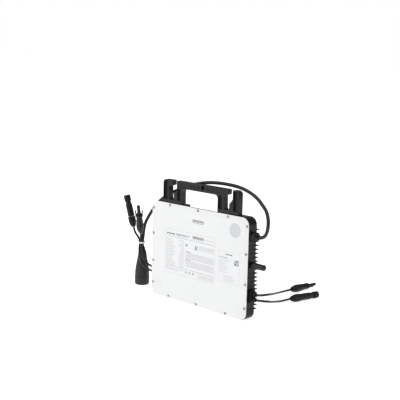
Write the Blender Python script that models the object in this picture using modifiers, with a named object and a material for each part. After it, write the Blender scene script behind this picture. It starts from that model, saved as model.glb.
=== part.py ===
"""String inverter with a carrying bracket, a mains cable with its plug, and two pairs of solar leads.

Frame: metres, +Z up. X runs across the cover, Y from the cover to the back, and the origin is the
middle of the housing's flat bottom, on which the inverter stands.
"""
import math

import bmesh
import bpy
from mathutils import Matrix, Vector

# Driving dimensions
COVER_WIDTH = 0.344
COVER_HEIGHT = 0.260
CORNER_RADIUS = 0.020
COVER_THICKNESS = 0.002
FRONT_Y = -0.018
CASE_DEPTH = 0.0325
FIN_DEPTH = 0.011
WALL = 0.0035
GAP = 0.0003

# Cover screws: their inset from the cover's edge, and where they stand along each side
SCREW_INSET = 0.0054
TOP_SCREW_X = (-0.1036, 0.0, 0.1036)
SIDE_SCREW_Z = (0.0322, 0.0935, 0.1698, 0.2394)

# Heat-sink fins
FIN_COUNT = 21
FIN_FIRST_Z = 0.0265
FIN_PITCH = 0.0101
FIN_THICKNESS = 0.0022

# Carrying bracket
BRACKET_HALF = 0.1345
BRACKET_TOP = 0.322
BRACKET_FRONT = -0.0147
BRACKET_DEPTH = 0.016
GRIP_HALF = 0.064
GRIP_TOP = 0.3035
SLOT_PITCH = 0.1970
BRACKET_SHELF_TOP = 0.2665
BRACKET_SHELF_X = (0.0755, 0.1225)
BRACKET_SHELF_BACK = 0.0130
BRACKET_SCREW_X = (-0.1145, -0.0835, 0.0835, 0.1145)
BRACKET_SCREW_Y = 0.0068

# The lowered, ribbed stretch of the housing's top between the bracket's legs
TOP_RECESS_HALF = 0.060

# Openings in the housing's flanks
AC_Y = -0.0015
AC_Z = 0.2140
ANTENNA_Z = 0.1415
DC_Z = 0.0625
DC_LEAD_OFFSET = 0.0065
VENT_Z = 0.1415

AC_CABLE_RADIUS = 0.0045
DC_LEAD_RADIUS = 0.0030
CONNECTOR_SCALE = 1.10

# Routes of the free cables: points on their centrelines
AC_ROUTE = [
    (0.1925, -0.0015, 0.2140), (0.2008, -0.0020, 0.2154), (0.2098, -0.0038, 0.2198),
    (0.2172, -0.0060, 0.2270), (0.2220, -0.0076, 0.2370), (0.2235, -0.0074, 0.2475),
    (0.2208, -0.0040, 0.2585), (0.2130, 0.0025, 0.2695), (0.2000, 0.0110, 0.2805),
    (0.1815, 0.0190, 0.2910), (0.1600, 0.0260, 0.3025), (0.1355, 0.0300, 0.3125),
    (0.1090, 0.0290, 0.3210), (0.0850, 0.0250, 0.3255), (0.0610, 0.0205, 0.3275),
    (0.0380, 0.0160, 0.3280), (0.0120, 0.0118, 0.3265), (-0.0180, 0.0092, 0.3215),
    (-0.0580, 0.0084, 0.3110), (-0.0950, 0.0090, 0.2968), (-0.1255, 0.0105, 0.2830),
    (-0.1520, 0.0125, 0.2695), (-0.1740, 0.0150, 0.2565), (-0.1980, 0.0190, 0.2380),
    (-0.2195, 0.0222, 0.2160), (-0.2360, 0.0240, 0.1960), (-0.2465, 0.0242, 0.1790),
    (-0.2515, 0.0237, 0.1610), (-0.2540, 0.0230, 0.1400), (-0.2552, 0.0222, 0.1270),
    (-0.2556, 0.0220, 0.1125),
]
RIGHT_PIN_ROUTE = [
    (0.1905, 0.0000, 0.0690), (0.2047, 0.0024, 0.0716), (0.2113, 0.0092, 0.0729),
    (0.2114, 0.0200, 0.0717), (0.2060, 0.0344, 0.0683), (0.1964, 0.0518, 0.0632),
    (0.1834, 0.0718, 0.0570), (0.1682, 0.0940, 0.0498), (0.1519, 0.1178, 0.0420),
    (0.1356, 0.1428, 0.0342), (0.1202, 0.1686, 0.0267), (0.1070, 0.1947, 0.0201),
    (0.0969, 0.2206, 0.0148), (0.0910, 0.2458, 0.0119), (0.0905, 0.2700, 0.0108),
]
RIGHT_SOCKET_ROUTE = [
    (0.1905, 0.0000, 0.0560), (0.2051, 0.0023, 0.0570), (0.2120, 0.0088, 0.0565),
    (0.2124, 0.0190, 0.0540), (0.2078, 0.0325, 0.0499), (0.1994, 0.0487, 0.0444),
    (0.1886, 0.0671, 0.0384), (0.1766, 0.0872, 0.0318), (0.1648, 0.1085, 0.0251),
    (0.1545, 0.1306, 0.0188), (0.1469, 0.1529, 0.0132), (0.1435, 0.1748, 0.0109),
    (0.1455, 0.1960, 0.0108),
]
LEFT_PIN_ROUTE = [
    (-0.1905, 0.0000, 0.0690), (-0.1965, -0.0008, 0.0695), (-0.2040, -0.0035, 0.0730),
    (-0.2120, -0.0062, 0.0790), (-0.2210, -0.0062, 0.0865), (-0.2310, -0.0015, 0.0950),
    (-0.2405, 0.0055, 0.1040), (-0.2488, 0.0113, 0.1115), (-0.2521, 0.0145, 0.1195),
    (-0.2524, 0.0146, 0.1265), (-0.2537, 0.0146, 0.1335), (-0.2545, 0.0145, 0.1433),
    (-0.2523, 0.0120, 0.1488), (-0.2506, 0.0100, 0.1531),
]
LEFT_SOCKET_ROUTE = [
    (-0.1905, 0.0000, 0.0560), (-0.1970, -0.0008, 0.0558), (-0.2060, -0.0040, 0.0590),
    (-0.2160, -0.0075, 0.0660), (-0.2270, -0.0075, 0.0755), (-0.2390, -0.0020, 0.0880),
    (-0.2500, 0.0055, 0.1000), (-0.2566, 0.0118, 0.1110), (-0.2586, 0.0147, 0.1195),
    (-0.2588, 0.0149, 0.1260), (-0.2612, 0.0147, 0.1315), (-0.2660, 0.0138, 0.1385),
    (-0.2730, 0.0122, 0.1460), (-0.2777, 0.0111, 0.1537), (-0.2805, 0.0105, 0.1635),
]

# Directions in which the four connectors lie, from their cables to their tips
RIGHT_PIN_AXIS = (0.105, 0.995, 0.0)
RIGHT_SOCKET_AXIS = (0.242, 0.970, 0.0)
LEFT_PIN_AXIS = (0.334, -0.394, 0.857)
LEFT_SOCKET_AXIS = (-0.270, -0.060, 0.961)

PLUG_X = -0.2556
PLUG_Y = 0.022
TIE_PLACE = (-0.2554, 0.0185, 0.1205)

COLORS = {
    "cover": ((0.86, 0.87, 0.88), 0.45, 0.0),
    "cast": ((0.030, 0.032, 0.036), 0.5, 0.4),
    "plastic": ((0.020, 0.021, 0.024), 0.45, 0.0),
    "rubber": ((0.014, 0.014, 0.015), 0.75, 0.0),
    "steel": ((0.55, 0.56, 0.58), 0.3, 1.0),
    "brass": ((0.72, 0.62, 0.36), 0.3, 1.0),
    "board": ((0.02, 0.16, 0.07), 0.5, 0.0),
    "ferrite": ((0.05, 0.05, 0.055), 0.7, 0.0),
    "copper": ((0.62, 0.27, 0.10), 0.35, 0.9),
    "sleeve": ((0.03, 0.05, 0.16), 0.4, 0.0),
    "white_plastic": ((0.85, 0.85, 0.83), 0.5, 0.0),
}

for old in list(bpy.data.objects):
    bpy.data.objects.remove(old, do_unlink=True)
PARTS = bpy.data.collections.new("string_inverter")
bpy.context.scene.collection.children.link(PARTS)
CUTTERS = bpy.data.collections.new("cutters")
bpy.context.scene.collection.children.link(CUTTERS)


def material(name, finish):
    """One Principled material for one part."""
    color, roughness, metallic = COLORS[finish]
    made = bpy.data.materials.new(name)
    made.use_nodes = True
    shader = made.node_tree.nodes["Principled BSDF"]
    shader.inputs["Base Color"].default_value = (*color, 1.0)
    shader.inputs["Roughness"].default_value = roughness
    shader.inputs["Metallic"].default_value = metallic
    made.diffuse_color = (*color, 1.0)
    return made


def from_bmesh(name, bm, collection=CUTTERS):
    mesh = bpy.data.meshes.new(name)
    bm.to_mesh(mesh)
    bm.free()
    made = bpy.data.objects.new(name, mesh)
    collection.objects.link(made)
    return made


def evaluated(obj, weld=0.00002):
    """Turn an object with modifiers, or a curve, into a plain welded mesh object in world space."""
    bpy.context.view_layer.update()
    graph = bpy.context.evaluated_depsgraph_get()
    mesh = bpy.data.meshes.new_from_object(obj.evaluated_get(graph))
    mesh.transform(obj.matrix_world)
    name = obj.name
    collection = obj.users_collection[0]
    bpy.data.objects.remove(obj, do_unlink=True)
    bm = bmesh.new()
    bm.from_mesh(mesh)
    bmesh.ops.remove_doubles(bm, verts=bm.verts, dist=weld)
    bmesh.ops.recalc_face_normals(bm, faces=bm.faces)
    bm.to_mesh(mesh)
    bm.free()
    made = bpy.data.objects.new(name, mesh)
    collection.objects.link(made)
    return made


def box(name, x, y, z, bevel=0.0):
    """A box between two limits on each axis, with its edges rounded if asked."""
    bm = bmesh.new()
    bmesh.ops.create_cube(bm, size=1.0)
    size = Vector((x[1] - x[0], y[1] - y[0], z[1] - z[0]))
    centre = Vector((x[1] + x[0], y[1] + y[0], z[1] + z[0])) / 2
    bmesh.ops.scale(bm, vec=size, verts=bm.verts)
    bmesh.ops.translate(bm, vec=centre, verts=bm.verts)
    if bevel:
        bmesh.ops.bevel(bm, geom=bm.edges[:], offset=bevel, segments=1, affect="EDGES")
    return from_bmesh(name, bm)


def rounded_rectangle(x, z, radius, steps=6):
    """The outline of a rectangle with round corners, as (x, z) points."""
    points = []
    corners = ((x[1], z[1], 0), (x[0], z[1], 90), (x[0], z[0], 180), (x[1], z[0], 270))
    for corner_x, corner_z, start in corners:
        centre_x = corner_x - math.copysign(radius, corner_x - (x[0] + x[1]) / 2)
        centre_z = corner_z - math.copysign(radius, corner_z - (z[0] + z[1]) / 2)
        for step in range(steps + 1):
            angle = math.radians(start + 90 * step / steps)
            points.append((centre_x + radius * math.cos(angle), centre_z + radius * math.sin(angle)))
    return points


def circle(x, z, radius, steps=12):
    turn = 2 * math.pi / steps
    return [(x + radius * math.cos(turn * i), z + radius * math.sin(turn * i)) for i in range(steps)]


def slab(name, outlines, y):
    """Flat outlines in the XZ plane, holes included, made solid between two Y values."""
    curve = bpy.data.curves.new(name, "CURVE")
    curve.dimensions = "2D"
    curve.fill_mode = "BOTH"
    curve.extrude = (y[1] - y[0]) / 2
    for outline in outlines:
        spline = curve.splines.new("POLY")
        spline.points.add(len(outline) - 1)
        for point, (px, pz) in zip(spline.points, outline):
            point.co = (px, pz, 0, 1)
        spline.use_cyclic_u = True
    made = bpy.data.objects.new(name, curve)
    centre = Matrix.Translation((0, (y[0] + y[1]) / 2, 0))
    made.matrix_world = centre @ Matrix.Rotation(math.pi / 2, 4, "X")
    CUTTERS.objects.link(made)
    return evaluated(made)


def turned(name, profile, start, axis, steps=20):
    """A turned solid: profile of (radius, distance along the axis), from the far end back to the start."""
    bm = bmesh.new()
    verts = [bm.verts.new((radius, 0, along)) for radius, along in profile]
    for first, second in zip(verts, verts[1:]):
        bm.edges.new((first, second))
    made = from_bmesh(name, bm)
    screw = made.modifiers.new("turn", "SCREW")
    screw.axis = "Z"
    screw.steps = steps
    screw.render_steps = steps
    screw.use_merge_vertices = True
    screw.merge_threshold = 0.00001
    turn = Vector(axis).normalized().to_track_quat("Z", "Y").to_matrix().to_4x4()
    made.matrix_world = Matrix.Translation(start) @ turn
    return evaluated(made)


def rod(name, start, axis, radius, length, steps=16):
    profile = [(0, length), (radius, length), (radius, 0), (0, 0)]
    return turned(name, profile, start, axis, steps)


def ring(name, start, axis, outer, inner, length, steps=20):
    """A tube with flat ends."""
    profile = [(inner, length), (outer, length), (outer, 0), (inner, 0), (inner, length)]
    return turned(name, profile, start, axis, steps)


def smooth_route(route, spacing):
    """Points at an even spacing along a smooth curve through the route's points."""
    dense = []
    ends = [2 * Vector(route[0]) - Vector(route[1])]
    ends += [Vector(point) for point in route]
    ends += [2 * Vector(route[-1]) - Vector(route[-2])]
    for before, here, there, after in zip(ends, ends[1:], ends[2:], ends[3:]):
        for step in range(12):
            t = step / 12
            dense.append(
                0.5 * (2 * here + (there - before) * t
                       + (2 * before - 5 * here + 4 * there - after) * t * t
                       + (3 * here - before - 3 * there + after) * t ** 3))
    dense.append(ends[-2])
    lengths = [0.0]
    for first, second in zip(dense, dense[1:]):
        lengths.append(lengths[-1] + (second - first).length)
    count = max(2, round(lengths[-1] / spacing))
    points = []
    index = 0
    for step in range(count + 1):
        target = lengths[-1] * step / count
        while index < len(dense) - 2 and lengths[index + 1] < target:
            index += 1
        share = (target - lengths[index]) / (lengths[index + 1] - lengths[index])
        points.append(dense[index].lerp(dense[index + 1], min(1.0, share)))
    return points


def tube(name, route, radius, spacing, sides=2):
    """A cable along a route, with flat filled ends."""
    curve = bpy.data.curves.new(name, "CURVE")
    curve.dimensions = "3D"
    curve.bevel_depth = radius
    curve.bevel_resolution = sides
    curve.use_fill_caps = True
    points = smooth_route(route, spacing)
    spline = curve.splines.new("POLY")
    spline.points.add(len(points) - 1)
    for point, place in zip(spline.points, points):
        point.co = (*place, 1)
    made = bpy.data.objects.new(name, curve)
    CUTTERS.objects.link(made)
    return evaluated(made)


def joined(name, pieces):
    """Several separate or clear pieces as one mesh object."""
    bm = bmesh.new()
    for piece in pieces:
        bm.from_mesh(piece.data)
        bpy.data.objects.remove(piece, do_unlink=True)
    return from_bmesh(name, bm)


def combine(base, tool, operation="DIFFERENCE", solver="EXACT"):
    """Boolean of two closed meshes; the tool is used up. The housing needs the MANIFOLD solver."""
    modifier = base.modifiers.new("cut", "BOOLEAN")
    modifier.operation = operation
    modifier.object = tool
    modifier.solver = solver
    result = evaluated(base, 0.000001)
    bpy.data.objects.remove(tool, do_unlink=True)
    return result


def finish(obj, name, finish_name):
    """Put a finished piece in the parts collection with its own material."""
    obj.name = name
    obj.data.name = name
    CUTTERS.objects.unlink(obj)
    PARTS.objects.link(obj)
    obj.data.materials.clear()
    obj.data.materials.append(material(name, finish_name))
    obj.data.shade_smooth()
    obj.data.set_sharp_from_angle(angle=math.radians(35))
    return obj


def screw_places():
    """(x, z) of every cover screw."""
    half = COVER_WIDTH / 2 - SCREW_INSET
    places = [(x, z) for x in TOP_SCREW_X for z in (SCREW_INSET, COVER_HEIGHT - SCREW_INSET)]
    places += [(x, z) for x in (-half, half) for z in SIDE_SCREW_Z]
    return places


SCREWS = screw_places()
HALF = COVER_WIDTH / 2
SHELL_HALF = HALF - 0.0005
SHELL_TOP = COVER_HEIGHT - 0.0005
COVER_BACK = FRONT_Y + COVER_THICKNESS
SEAL_BACK = COVER_BACK + GAP + 0.001
SHELL_FRONT = SEAL_BACK + GAP
SHELL_BACK = FRONT_Y + CASE_DEPTH
FIN_BACK = SHELL_BACK + FIN_DEPTH
CAVITY_BACK = SHELL_BACK - WALL
CAVITY_X = (-0.1665, 0.1665)
CAVITY_Z = (0.0045, 0.2470)
FIN_Z = [FIN_FIRST_Z + FIN_PITCH * index for index in range(FIN_COUNT)]


def make_cover():
    outline = rounded_rectangle((-HALF, HALF), (0.0005, COVER_HEIGHT), CORNER_RADIUS)
    holes = [circle(x, z, 0.0021, 8) for x, z in SCREWS]
    finish(slab("cover", [outline] + holes, (FRONT_Y, COVER_BACK)), "front_cover", "cover")
    outer = rounded_rectangle((-HALF + 0.001, HALF - 0.001), (0.0015, COVER_HEIGHT - 0.001), 0.019)
    inner = rounded_rectangle((-HALF + 0.0095, HALF - 0.0095), (0.0100, COVER_HEIGHT - 0.0095), 0.0105)
    seal = slab("seal", [outer, inner] + holes, (COVER_BACK + GAP, SEAL_BACK))
    finish(seal, "cover_seal", "rubber")
    head = [(0, 0.0022), (0.0022, 0.0022), (0.0033, 0.0012), (0.0033, 0),
            (0.0016, 0), (0.0016, -0.0075), (0, -0.0075)]
    for number, (x, z) in enumerate(SCREWS, start=1):
        screw = turned("screw", head, (x, FRONT_Y - GAP, z), (0, -1, 0), 8)
        finish(screw, f"cover_screw_{number}", "steel")


def flank_bosses():
    """Flat round or oblong pads on the flanks, left clear of the ribs."""
    right = ((AC_Z, 0.016), (ANTENNA_Z, 0.013), (DC_Z, 0.021))
    left = ((DC_Z, 0.021), (VENT_Z, 0.010))
    return {1: right, -1: left}


def make_housing():
    outline = rounded_rectangle((-SHELL_HALF, SHELL_HALF), (0.0, SHELL_TOP), CORNER_RADIUS - 0.0005)
    shell = slab("housing", [outline], (SHELL_FRONT, FIN_BACK))

    cavity_y = (SHELL_FRONT - 0.002, CAVITY_BACK)
    cavity = slab("cavity", [rounded_rectangle(CAVITY_X, CAVITY_Z, 0.012)], cavity_y)
    bosses = [rod("boss", (x, SHELL_FRONT - 0.003, z), (0, 1, 0), 0.0046, 0.05, 8) for x, z in SCREWS]
    cavity = combine(cavity, joined("bosses", bosses), solver="MANIFOLD")
    shell = combine(shell, cavity, solver="MANIFOLD")

    holes = [rod("hole", (x, SHELL_FRONT - 0.0013, z), (0, 1, 0), 0.0020, 0.0075, 8) for x, z in SCREWS]
    shell = combine(shell, joined("screw_holes", holes), solver="MANIFOLD")

    edges = [0.0 - 0.01] + FIN_Z + [SHELL_TOP + 0.01]
    half = FIN_THICKNESS / 2
    grooves = []
    for low, high in zip(edges, edges[1:]):
        z = (low + (half if low > 0 else 0), high - (half if high < SHELL_TOP else 0))
        grooves.append(box("groove", (-0.2, 0.2), (SHELL_BACK, FIN_BACK + 0.01), z))
    shell = combine(shell, joined("grooves", grooves), solver="MANIFOLD")

    ribs = []
    for side, pads in flank_bosses().items():
        for low, high in zip(FIN_Z, FIN_Z[1:]):
            middle = (low + high) / 2
            if any(abs(middle - pad) < reach for pad, reach in pads):
                continue
            x = sorted((side * (SHELL_HALF - 0.0016), side * 0.2))
            z = (low + half + 0.0004, high - half - 0.0004)
            ribs.append(box("rib", x, (-0.0090, SHELL_BACK + 0.01), z))
    shell = combine(shell, joined("rib_gaps", ribs), solver="MANIFOLD")

    recess = []
    for side in (-1, 1):
        x = sorted((side * (BRACKET_SHELF_X[0] - 0.003), side * (BRACKET_SHELF_X[1] + 0.003)))
        recess.append(box("recess", x, (-0.0040, FIN_BACK + 0.01), (0.2520, 0.28)))
    edges = [-TOP_RECESS_HALF] + [0.014 * index for index in range(-3, 4)] + [TOP_RECESS_HALF]
    for low, high in zip(edges, edges[1:]):
        x = (low + 0.0012, high - 0.0012)
        recess.append(box("recess", x, (-0.0095, FIN_BACK + 0.01), (0.2523, 0.2600)))
    shell = combine(shell, joined("recess", recess), solver="MANIFOLD")
    x = (-TOP_RECESS_HALF, TOP_RECESS_HALF)
    top_recess = box("recess", x, (-0.0095, FIN_BACK + 0.01), (0.2538, 0.28))
    shell = combine(shell, top_recess, solver="MANIFOLD")

    ports = [rod("port", (0.15, AC_Y, AC_Z), (1, 0, 0), 0.0102, 0.04, 20),
             rod("port", (0.15, 0, ANTENNA_Z), (1, 0, 0), 0.0034, 0.04, 12)]
    for side in (-1, 1):
        for offset in (-DC_LEAD_OFFSET, DC_LEAD_OFFSET):
            ports.append(rod("port", (side * 0.15, 0, DC_Z + offset), (side, 0, 0), 0.0040, 0.04, 12))
    for x in BRACKET_SCREW_X:
        ports.append(rod("port", (x, BRACKET_SCREW_Y, 0.2485), (0, 0, 1), 0.0021, 0.02, 10))
    ports.append(rod("port", (-0.18, 0, VENT_Z), (1, 0, 0), 0.0040, 0.03, 12))
    shell = combine(shell, joined("ports", ports), solver="MANIFOLD")
    finish(shell, "housing", "cast")


def slot_outline(shift):
    """A cable slot: a mouth at the top, a pocket under its hook, and a narrow foot."""
    points = [(0.0973, BRACKET_TOP + 0.01), (0.0973, 0.3100), (0.0950, 0.3075), (0.0865, 0.3065),
              (0.0845, 0.3045), (0.0857, 0.2720), (0.0875, 0.2695), (0.1012, 0.2695),
              (0.1033, 0.2715), (0.1033, 0.2860), (0.1135, 0.2975), (0.1142, 0.3000),
              (0.1142, BRACKET_TOP + 0.01)]
    return [(x - shift, z) for x, z in points]


def make_bracket():
    half = BRACKET_HALF
    top = rounded_rectangle((-half, half), (0.25, BRACKET_TOP), 0.010)
    y = (BRACKET_FRONT, BRACKET_FRONT + BRACKET_DEPTH)
    bracket = slab("bracket", [top], y)
    grip = rounded_rectangle((-GRIP_HALF, GRIP_HALF), (0.24, GRIP_TOP), 0.010)
    cuts = [box("under", (-0.2, 0.2), (-0.05, 0.05), (0.2, 0.2600)),
            slab("grip", [grip], (-0.05, 0.05)),
            slab("slot", [slot_outline(0)], (-0.05, 0.05)),
            slab("slot", [slot_outline(SLOT_PITCH)], (-0.05, 0.05)),
            rod("pin_hole", (-0.003, -0.05, 0.3135), (0, 1, 0), 0.0024, 0.1, 12),
            box("notch", (0.0070, 0.0160), (-0.05, BRACKET_FRONT + 0.0070), (0.3100, 0.3202))]
    rim = 0.0030
    deep = 0.0050
    shallow = 0.0012
    pockets = [((-half + rim, -0.1155), (0.2700, BRACKET_TOP - rim), deep),
               ((-0.0800, -GRIP_HALF - rim), (0.2700, 0.3010), deep),
               ((-0.0785, -0.0085), (GRIP_TOP + rim, BRACKET_TOP - rim), shallow),
               ((0.0240, 0.0930), (GRIP_TOP + rim + 0.003, BRACKET_TOP - rim), shallow),
               ((GRIP_HALF + rim, 0.0845 - rim), (0.2700, 0.3035), deep),
               ((0.1172, half - rim), (0.2700, BRACKET_TOP - rim), deep)]
    for x, z, depth in pockets:
        outline = rounded_rectangle(x, z, 0.0020, 1)
        cuts.append(slab("pocket", [outline], (-0.05, BRACKET_FRONT + depth)))
        cuts.append(slab("pocket", [outline], (BRACKET_FRONT + BRACKET_DEPTH - 0.0035, 0.05)))
    for cut in cuts:
        bracket = combine(bracket, cut)
    for side in (-1, 1):
        x = sorted((side * BRACKET_SHELF_X[0], side * BRACKET_SHELF_X[1]))
        shelf = box("shelf", x, (BRACKET_FRONT + 0.008, BRACKET_SHELF_BACK), (0.2600, BRACKET_SHELF_TOP))
        bracket = combine(bracket, shelf, "UNION")
        block = box("block", x, (-0.0036, BRACKET_SHELF_BACK), (0.2523, 0.2630))
        bracket = combine(bracket, block, "UNION")
    holes = [rod("hole", (x, BRACKET_SCREW_Y, 0.24), (0, 0, 1), 0.0026, 0.05, 12) for x in BRACKET_SCREW_X]
    bracket = combine(bracket, joined("holes", holes))
    finish(bracket, "carrying_bracket", "plastic")

    head = [(0, 0.0025), (0.0030, 0.0025), (0.0042, 0.0012), (0.0042, 0),
            (0.0018, 0), (0.0018, -0.0165), (0, -0.0165)]
    for number, x in enumerate(BRACKET_SCREW_X, start=1):
        screw = turned("screw", head, (x, BRACKET_SCREW_Y, BRACKET_SHELF_TOP + GAP), (0, 0, 1), 10)
        finish(screw, f"bracket_screw_{number}", "steel")


BOARD_Y = (-0.0115, -0.0099)
BOARD_BACK = BOARD_Y[1] + GAP


def make_board():
    """The main board with its smaller soldered components."""
    outline = rounded_rectangle((-0.157, 0.157), (0.0115, 0.2395), 0.006, 3)
    board = slab("board", [outline], BOARD_Y)
    soldered = [((0.095, 0.121), 0.0160, (0.040, 0.052)), ((0.095, 0.124), 0.0155, (0.150, 0.163)),
                ((0.050, 0.078), 0.0155, (0.150, 0.163)), ((0.020, 0.040), 0.0120, (0.170, 0.180))]
    for number in range(8):
        x = -0.118 + 0.0275 * number
        soldered.append(((x - 0.0078, x + 0.0078), 0.0190, (0.200, 0.205)))
    for x, height, z in soldered:
        piece = box("component", x, (BOARD_Y[1] - 0.0005, BOARD_Y[1] + height), z)
        board = combine(board, piece, "UNION")
    finish(board, "main_board", "board")


def make_components():
    x = -0.060
    z = 0.118
    y = (BOARD_BACK, CAVITY_BACK - GAP)
    core = box("core", (x - 0.022, x + 0.022), y, (z - 0.0165, z + 0.0165), 0.0008)
    groove_y = y[0] + 0.003
    length = y[1] - y[0] - 0.006
    core = combine(core, ring("groove", (x, groove_y, z), (0, 1, 0), 0.0190, 0.0075, length, 28))
    finish(core, "transformer_core", "ferrite")
    winding = ring("winding", (x, groove_y + GAP, z), (0, 1, 0), 0.0186, 0.0080, length - 2 * GAP, 28)
    finish(winding, "transformer_winding", "copper")

    can = [(0, 0.035), (0.0082, 0.035), (0.0090, 0.0340), (0.0090, 0.0060), (0.0084, 0.0048),
           (0.0090, 0.0036), (0.0090, 0.0008), (0.0082, 0), (0, 0)]
    for number in (1, 2):
        start = (-0.148, BOARD_BACK + 0.0091, 0.0450 + 0.0220 * number)
        finish(turned("capacitor", can, start, (1, 0, 0), 16), f"input_capacitor_{number}", "sleeve")

    centre = (0.060, BOARD_BACK + 0.0045, 0.060)
    core = ring("core", centre, (0, 1, 0), 0.0150, 0.0085, 0.0090, 28)
    finish(core, "choke_core", "ferrite")
    outer = ring("outer", (centre[0], centre[1] - 0.0016, centre[2]), (0, 1, 0), 0.0168, 0.0067, 0.0122, 28)
    inner_start = (centre[0], centre[1] - GAP, centre[2])
    inner = ring("inner", inner_start, (0, 1, 0), 0.0150 + GAP, 0.0085 - GAP, 0.0090 + 2 * GAP, 28)
    gap = box("gap", (centre[0], centre[0] + 0.03), (-0.05, 0.05), (centre[2] - 0.006, centre[2] + 0.006))
    finish(combine(combine(outer, gap), inner), "choke_winding", "copper")

    module_y = (BOARD_BACK, BOARD_BACK + 0.0032)
    finish(box("radio", (0.118, 0.146), module_y, (0.095, 0.128), 0.0004), "radio_module", "steel")
    block = box("block", (0.118, 0.134), (BOARD_BACK, BOARD_BACK + 0.013), (0.190, 0.222), 0.0006)
    for z in (0.197, 0.206, 0.215):
        block = combine(block, rod("entry", (0.125, BOARD_BACK + 0.0065, z), (1, 0, 0), 0.0022, 0.02, 10))
    finish(block, "mains_terminal_block", "white_plastic")


def make_mains_gland():
    inside = 0.1665
    outside = SHELL_HALF
    locknut = ring("locknut", (inside - GAP - 0.005, AC_Y, AC_Z), (1, 0, 0), 0.0122, 0.0103, 0.005, 24)
    finish(locknut, "gland_lock_nut", "plastic")
    flange = outside + GAP
    body = [(0.0066, 0.0085), (0.0096, 0.0085), (0.0096, 0.0050), (0.0125, 0.0045), (0.0125, 0.0),
            (0.0099, 0.0), (0.0099, -0.0115), (0.0066, -0.0115), (0.0066, 0.0085)]
    finish(turned("body", body, (flange, AC_Y, AC_Z), (1, 0, 0), 24), "gland_body", "plastic")
    seal = ring("seal", (flange - 0.0080, AC_Y, AC_Z), (1, 0, 0), 0.0063, AC_CABLE_RADIUS, 0.0160, 20)
    finish(seal, "gland_seal", "rubber")
    nut = [(0.0052, 0.0195), (0.0068, 0.0195), (0.0092, 0.0165), (0.0120, 0.0125), (0.0120, 0.0050 + GAP),
           (0.0099, 0.0050 + GAP), (0.0099, 0.0090), (0.0052, 0.0120), (0.0052, 0.0195)]
    finish(turned("nut", nut, (flange, AC_Y, AC_Z), (1, 0, 0), 24), "gland_dome_nut", "plastic")


def make_solar_gland(side, label):
    x = side * (SHELL_HALF + GAP)
    seal = [rounded_rectangle((-0.0095, 0.0095), (DC_Z - 0.0165, DC_Z + 0.0165), 0.006, 3)]
    holes = [circle(0, DC_Z + offset, 0.0036, 12) for offset in (-DC_LEAD_OFFSET, DC_LEAD_OFFSET)]

    def flank_slab(name, outlines, near, far):
        piece = slab(name, outlines, (near, far))
        piece.data.transform(Matrix.Rotation(-side * math.pi / 2, 4, "Z"))
        return piece

    base = abs(x)
    gasket = flank_slab("gasket", seal + holes, base, base + 0.0012)
    finish(gasket, f"solar_gland_seal_{label}", "rubber")
    frame = flank_slab("frame", seal + holes, base + 0.0015, base + 0.0085)
    collars = []
    for offset in (-DC_LEAD_OFFSET, DC_LEAD_OFFSET):
        start = (side * (base + 0.0080), 0, DC_Z + offset)
        collars.append(ring("collar", start, (side, 0, 0), 0.0054, 0.0036, 0.0085, 12))
    for collar in collars:
        frame = combine(frame, collar, "UNION")
    finish(frame, f"solar_gland_frame_{label}", "plastic")


def along(start, axis, distance):
    return tuple(Vector(start) + Vector(axis).normalized() * distance)


def enlarged(piece, start):
    """A connector's piece at its real size, which its profile gives at a smaller scale."""
    place = Matrix.Translation(start)
    piece.data.transform(place @ Matrix.Scale(CONNECTOR_SCALE, 4) @ place.inverted())
    return piece


def make_pin_connector(label, start, axis):
    """The connector whose pin is shrouded by a slim sleeve, with two latch arms."""
    nut = [(0, 0.0300), (0.0080, 0.0300), (0.0095, 0.0285), (0.0095, 0.0150), (0.0075, 0.0060),
           (0.0050, 0.0), (0, 0.0)]
    nut = turned("nut", nut, along(start, axis, 2 * GAP), axis, 14)
    finish(enlarged(nut, start), f"pin_nut_{label}", "plastic")
    body = [(0.0026, 0.0900), (0.0038, 0.0900), (0.0042, 0.0880), (0.0042, 0.0640), (0.0078, 0.0600),
            (0.0078, 0.0420), (0.0085, 0.0410), (0.0085, 0.0310), (0, 0.0310), (0, 0.0600),
            (0.0026, 0.0600), (0.0026, 0.0900)]
    body = turned("body", body, along(start, axis, 0), axis, 14)
    for side in (-1, 1):
        x = (side * 0.0080 - 0.0012, side * 0.0080 + 0.0012)
        arm = box("arm", x, (-0.0030, 0.0030), (0.0560, 0.0740), 0.0004)
        turn = Vector(axis).normalized().to_track_quat("Z", "Y").to_matrix().to_4x4()
        arm.data.transform(Matrix.Translation(start) @ turn)
        body = combine(body, arm, "UNION")
    contact = rod("contact", along(start, axis, 0.0595), axis, 0.0014, 0.0270, 10)
    body = combine(body, contact, "UNION")
    finish(enlarged(body, start), f"pin_body_{label}", "plastic")


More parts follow.
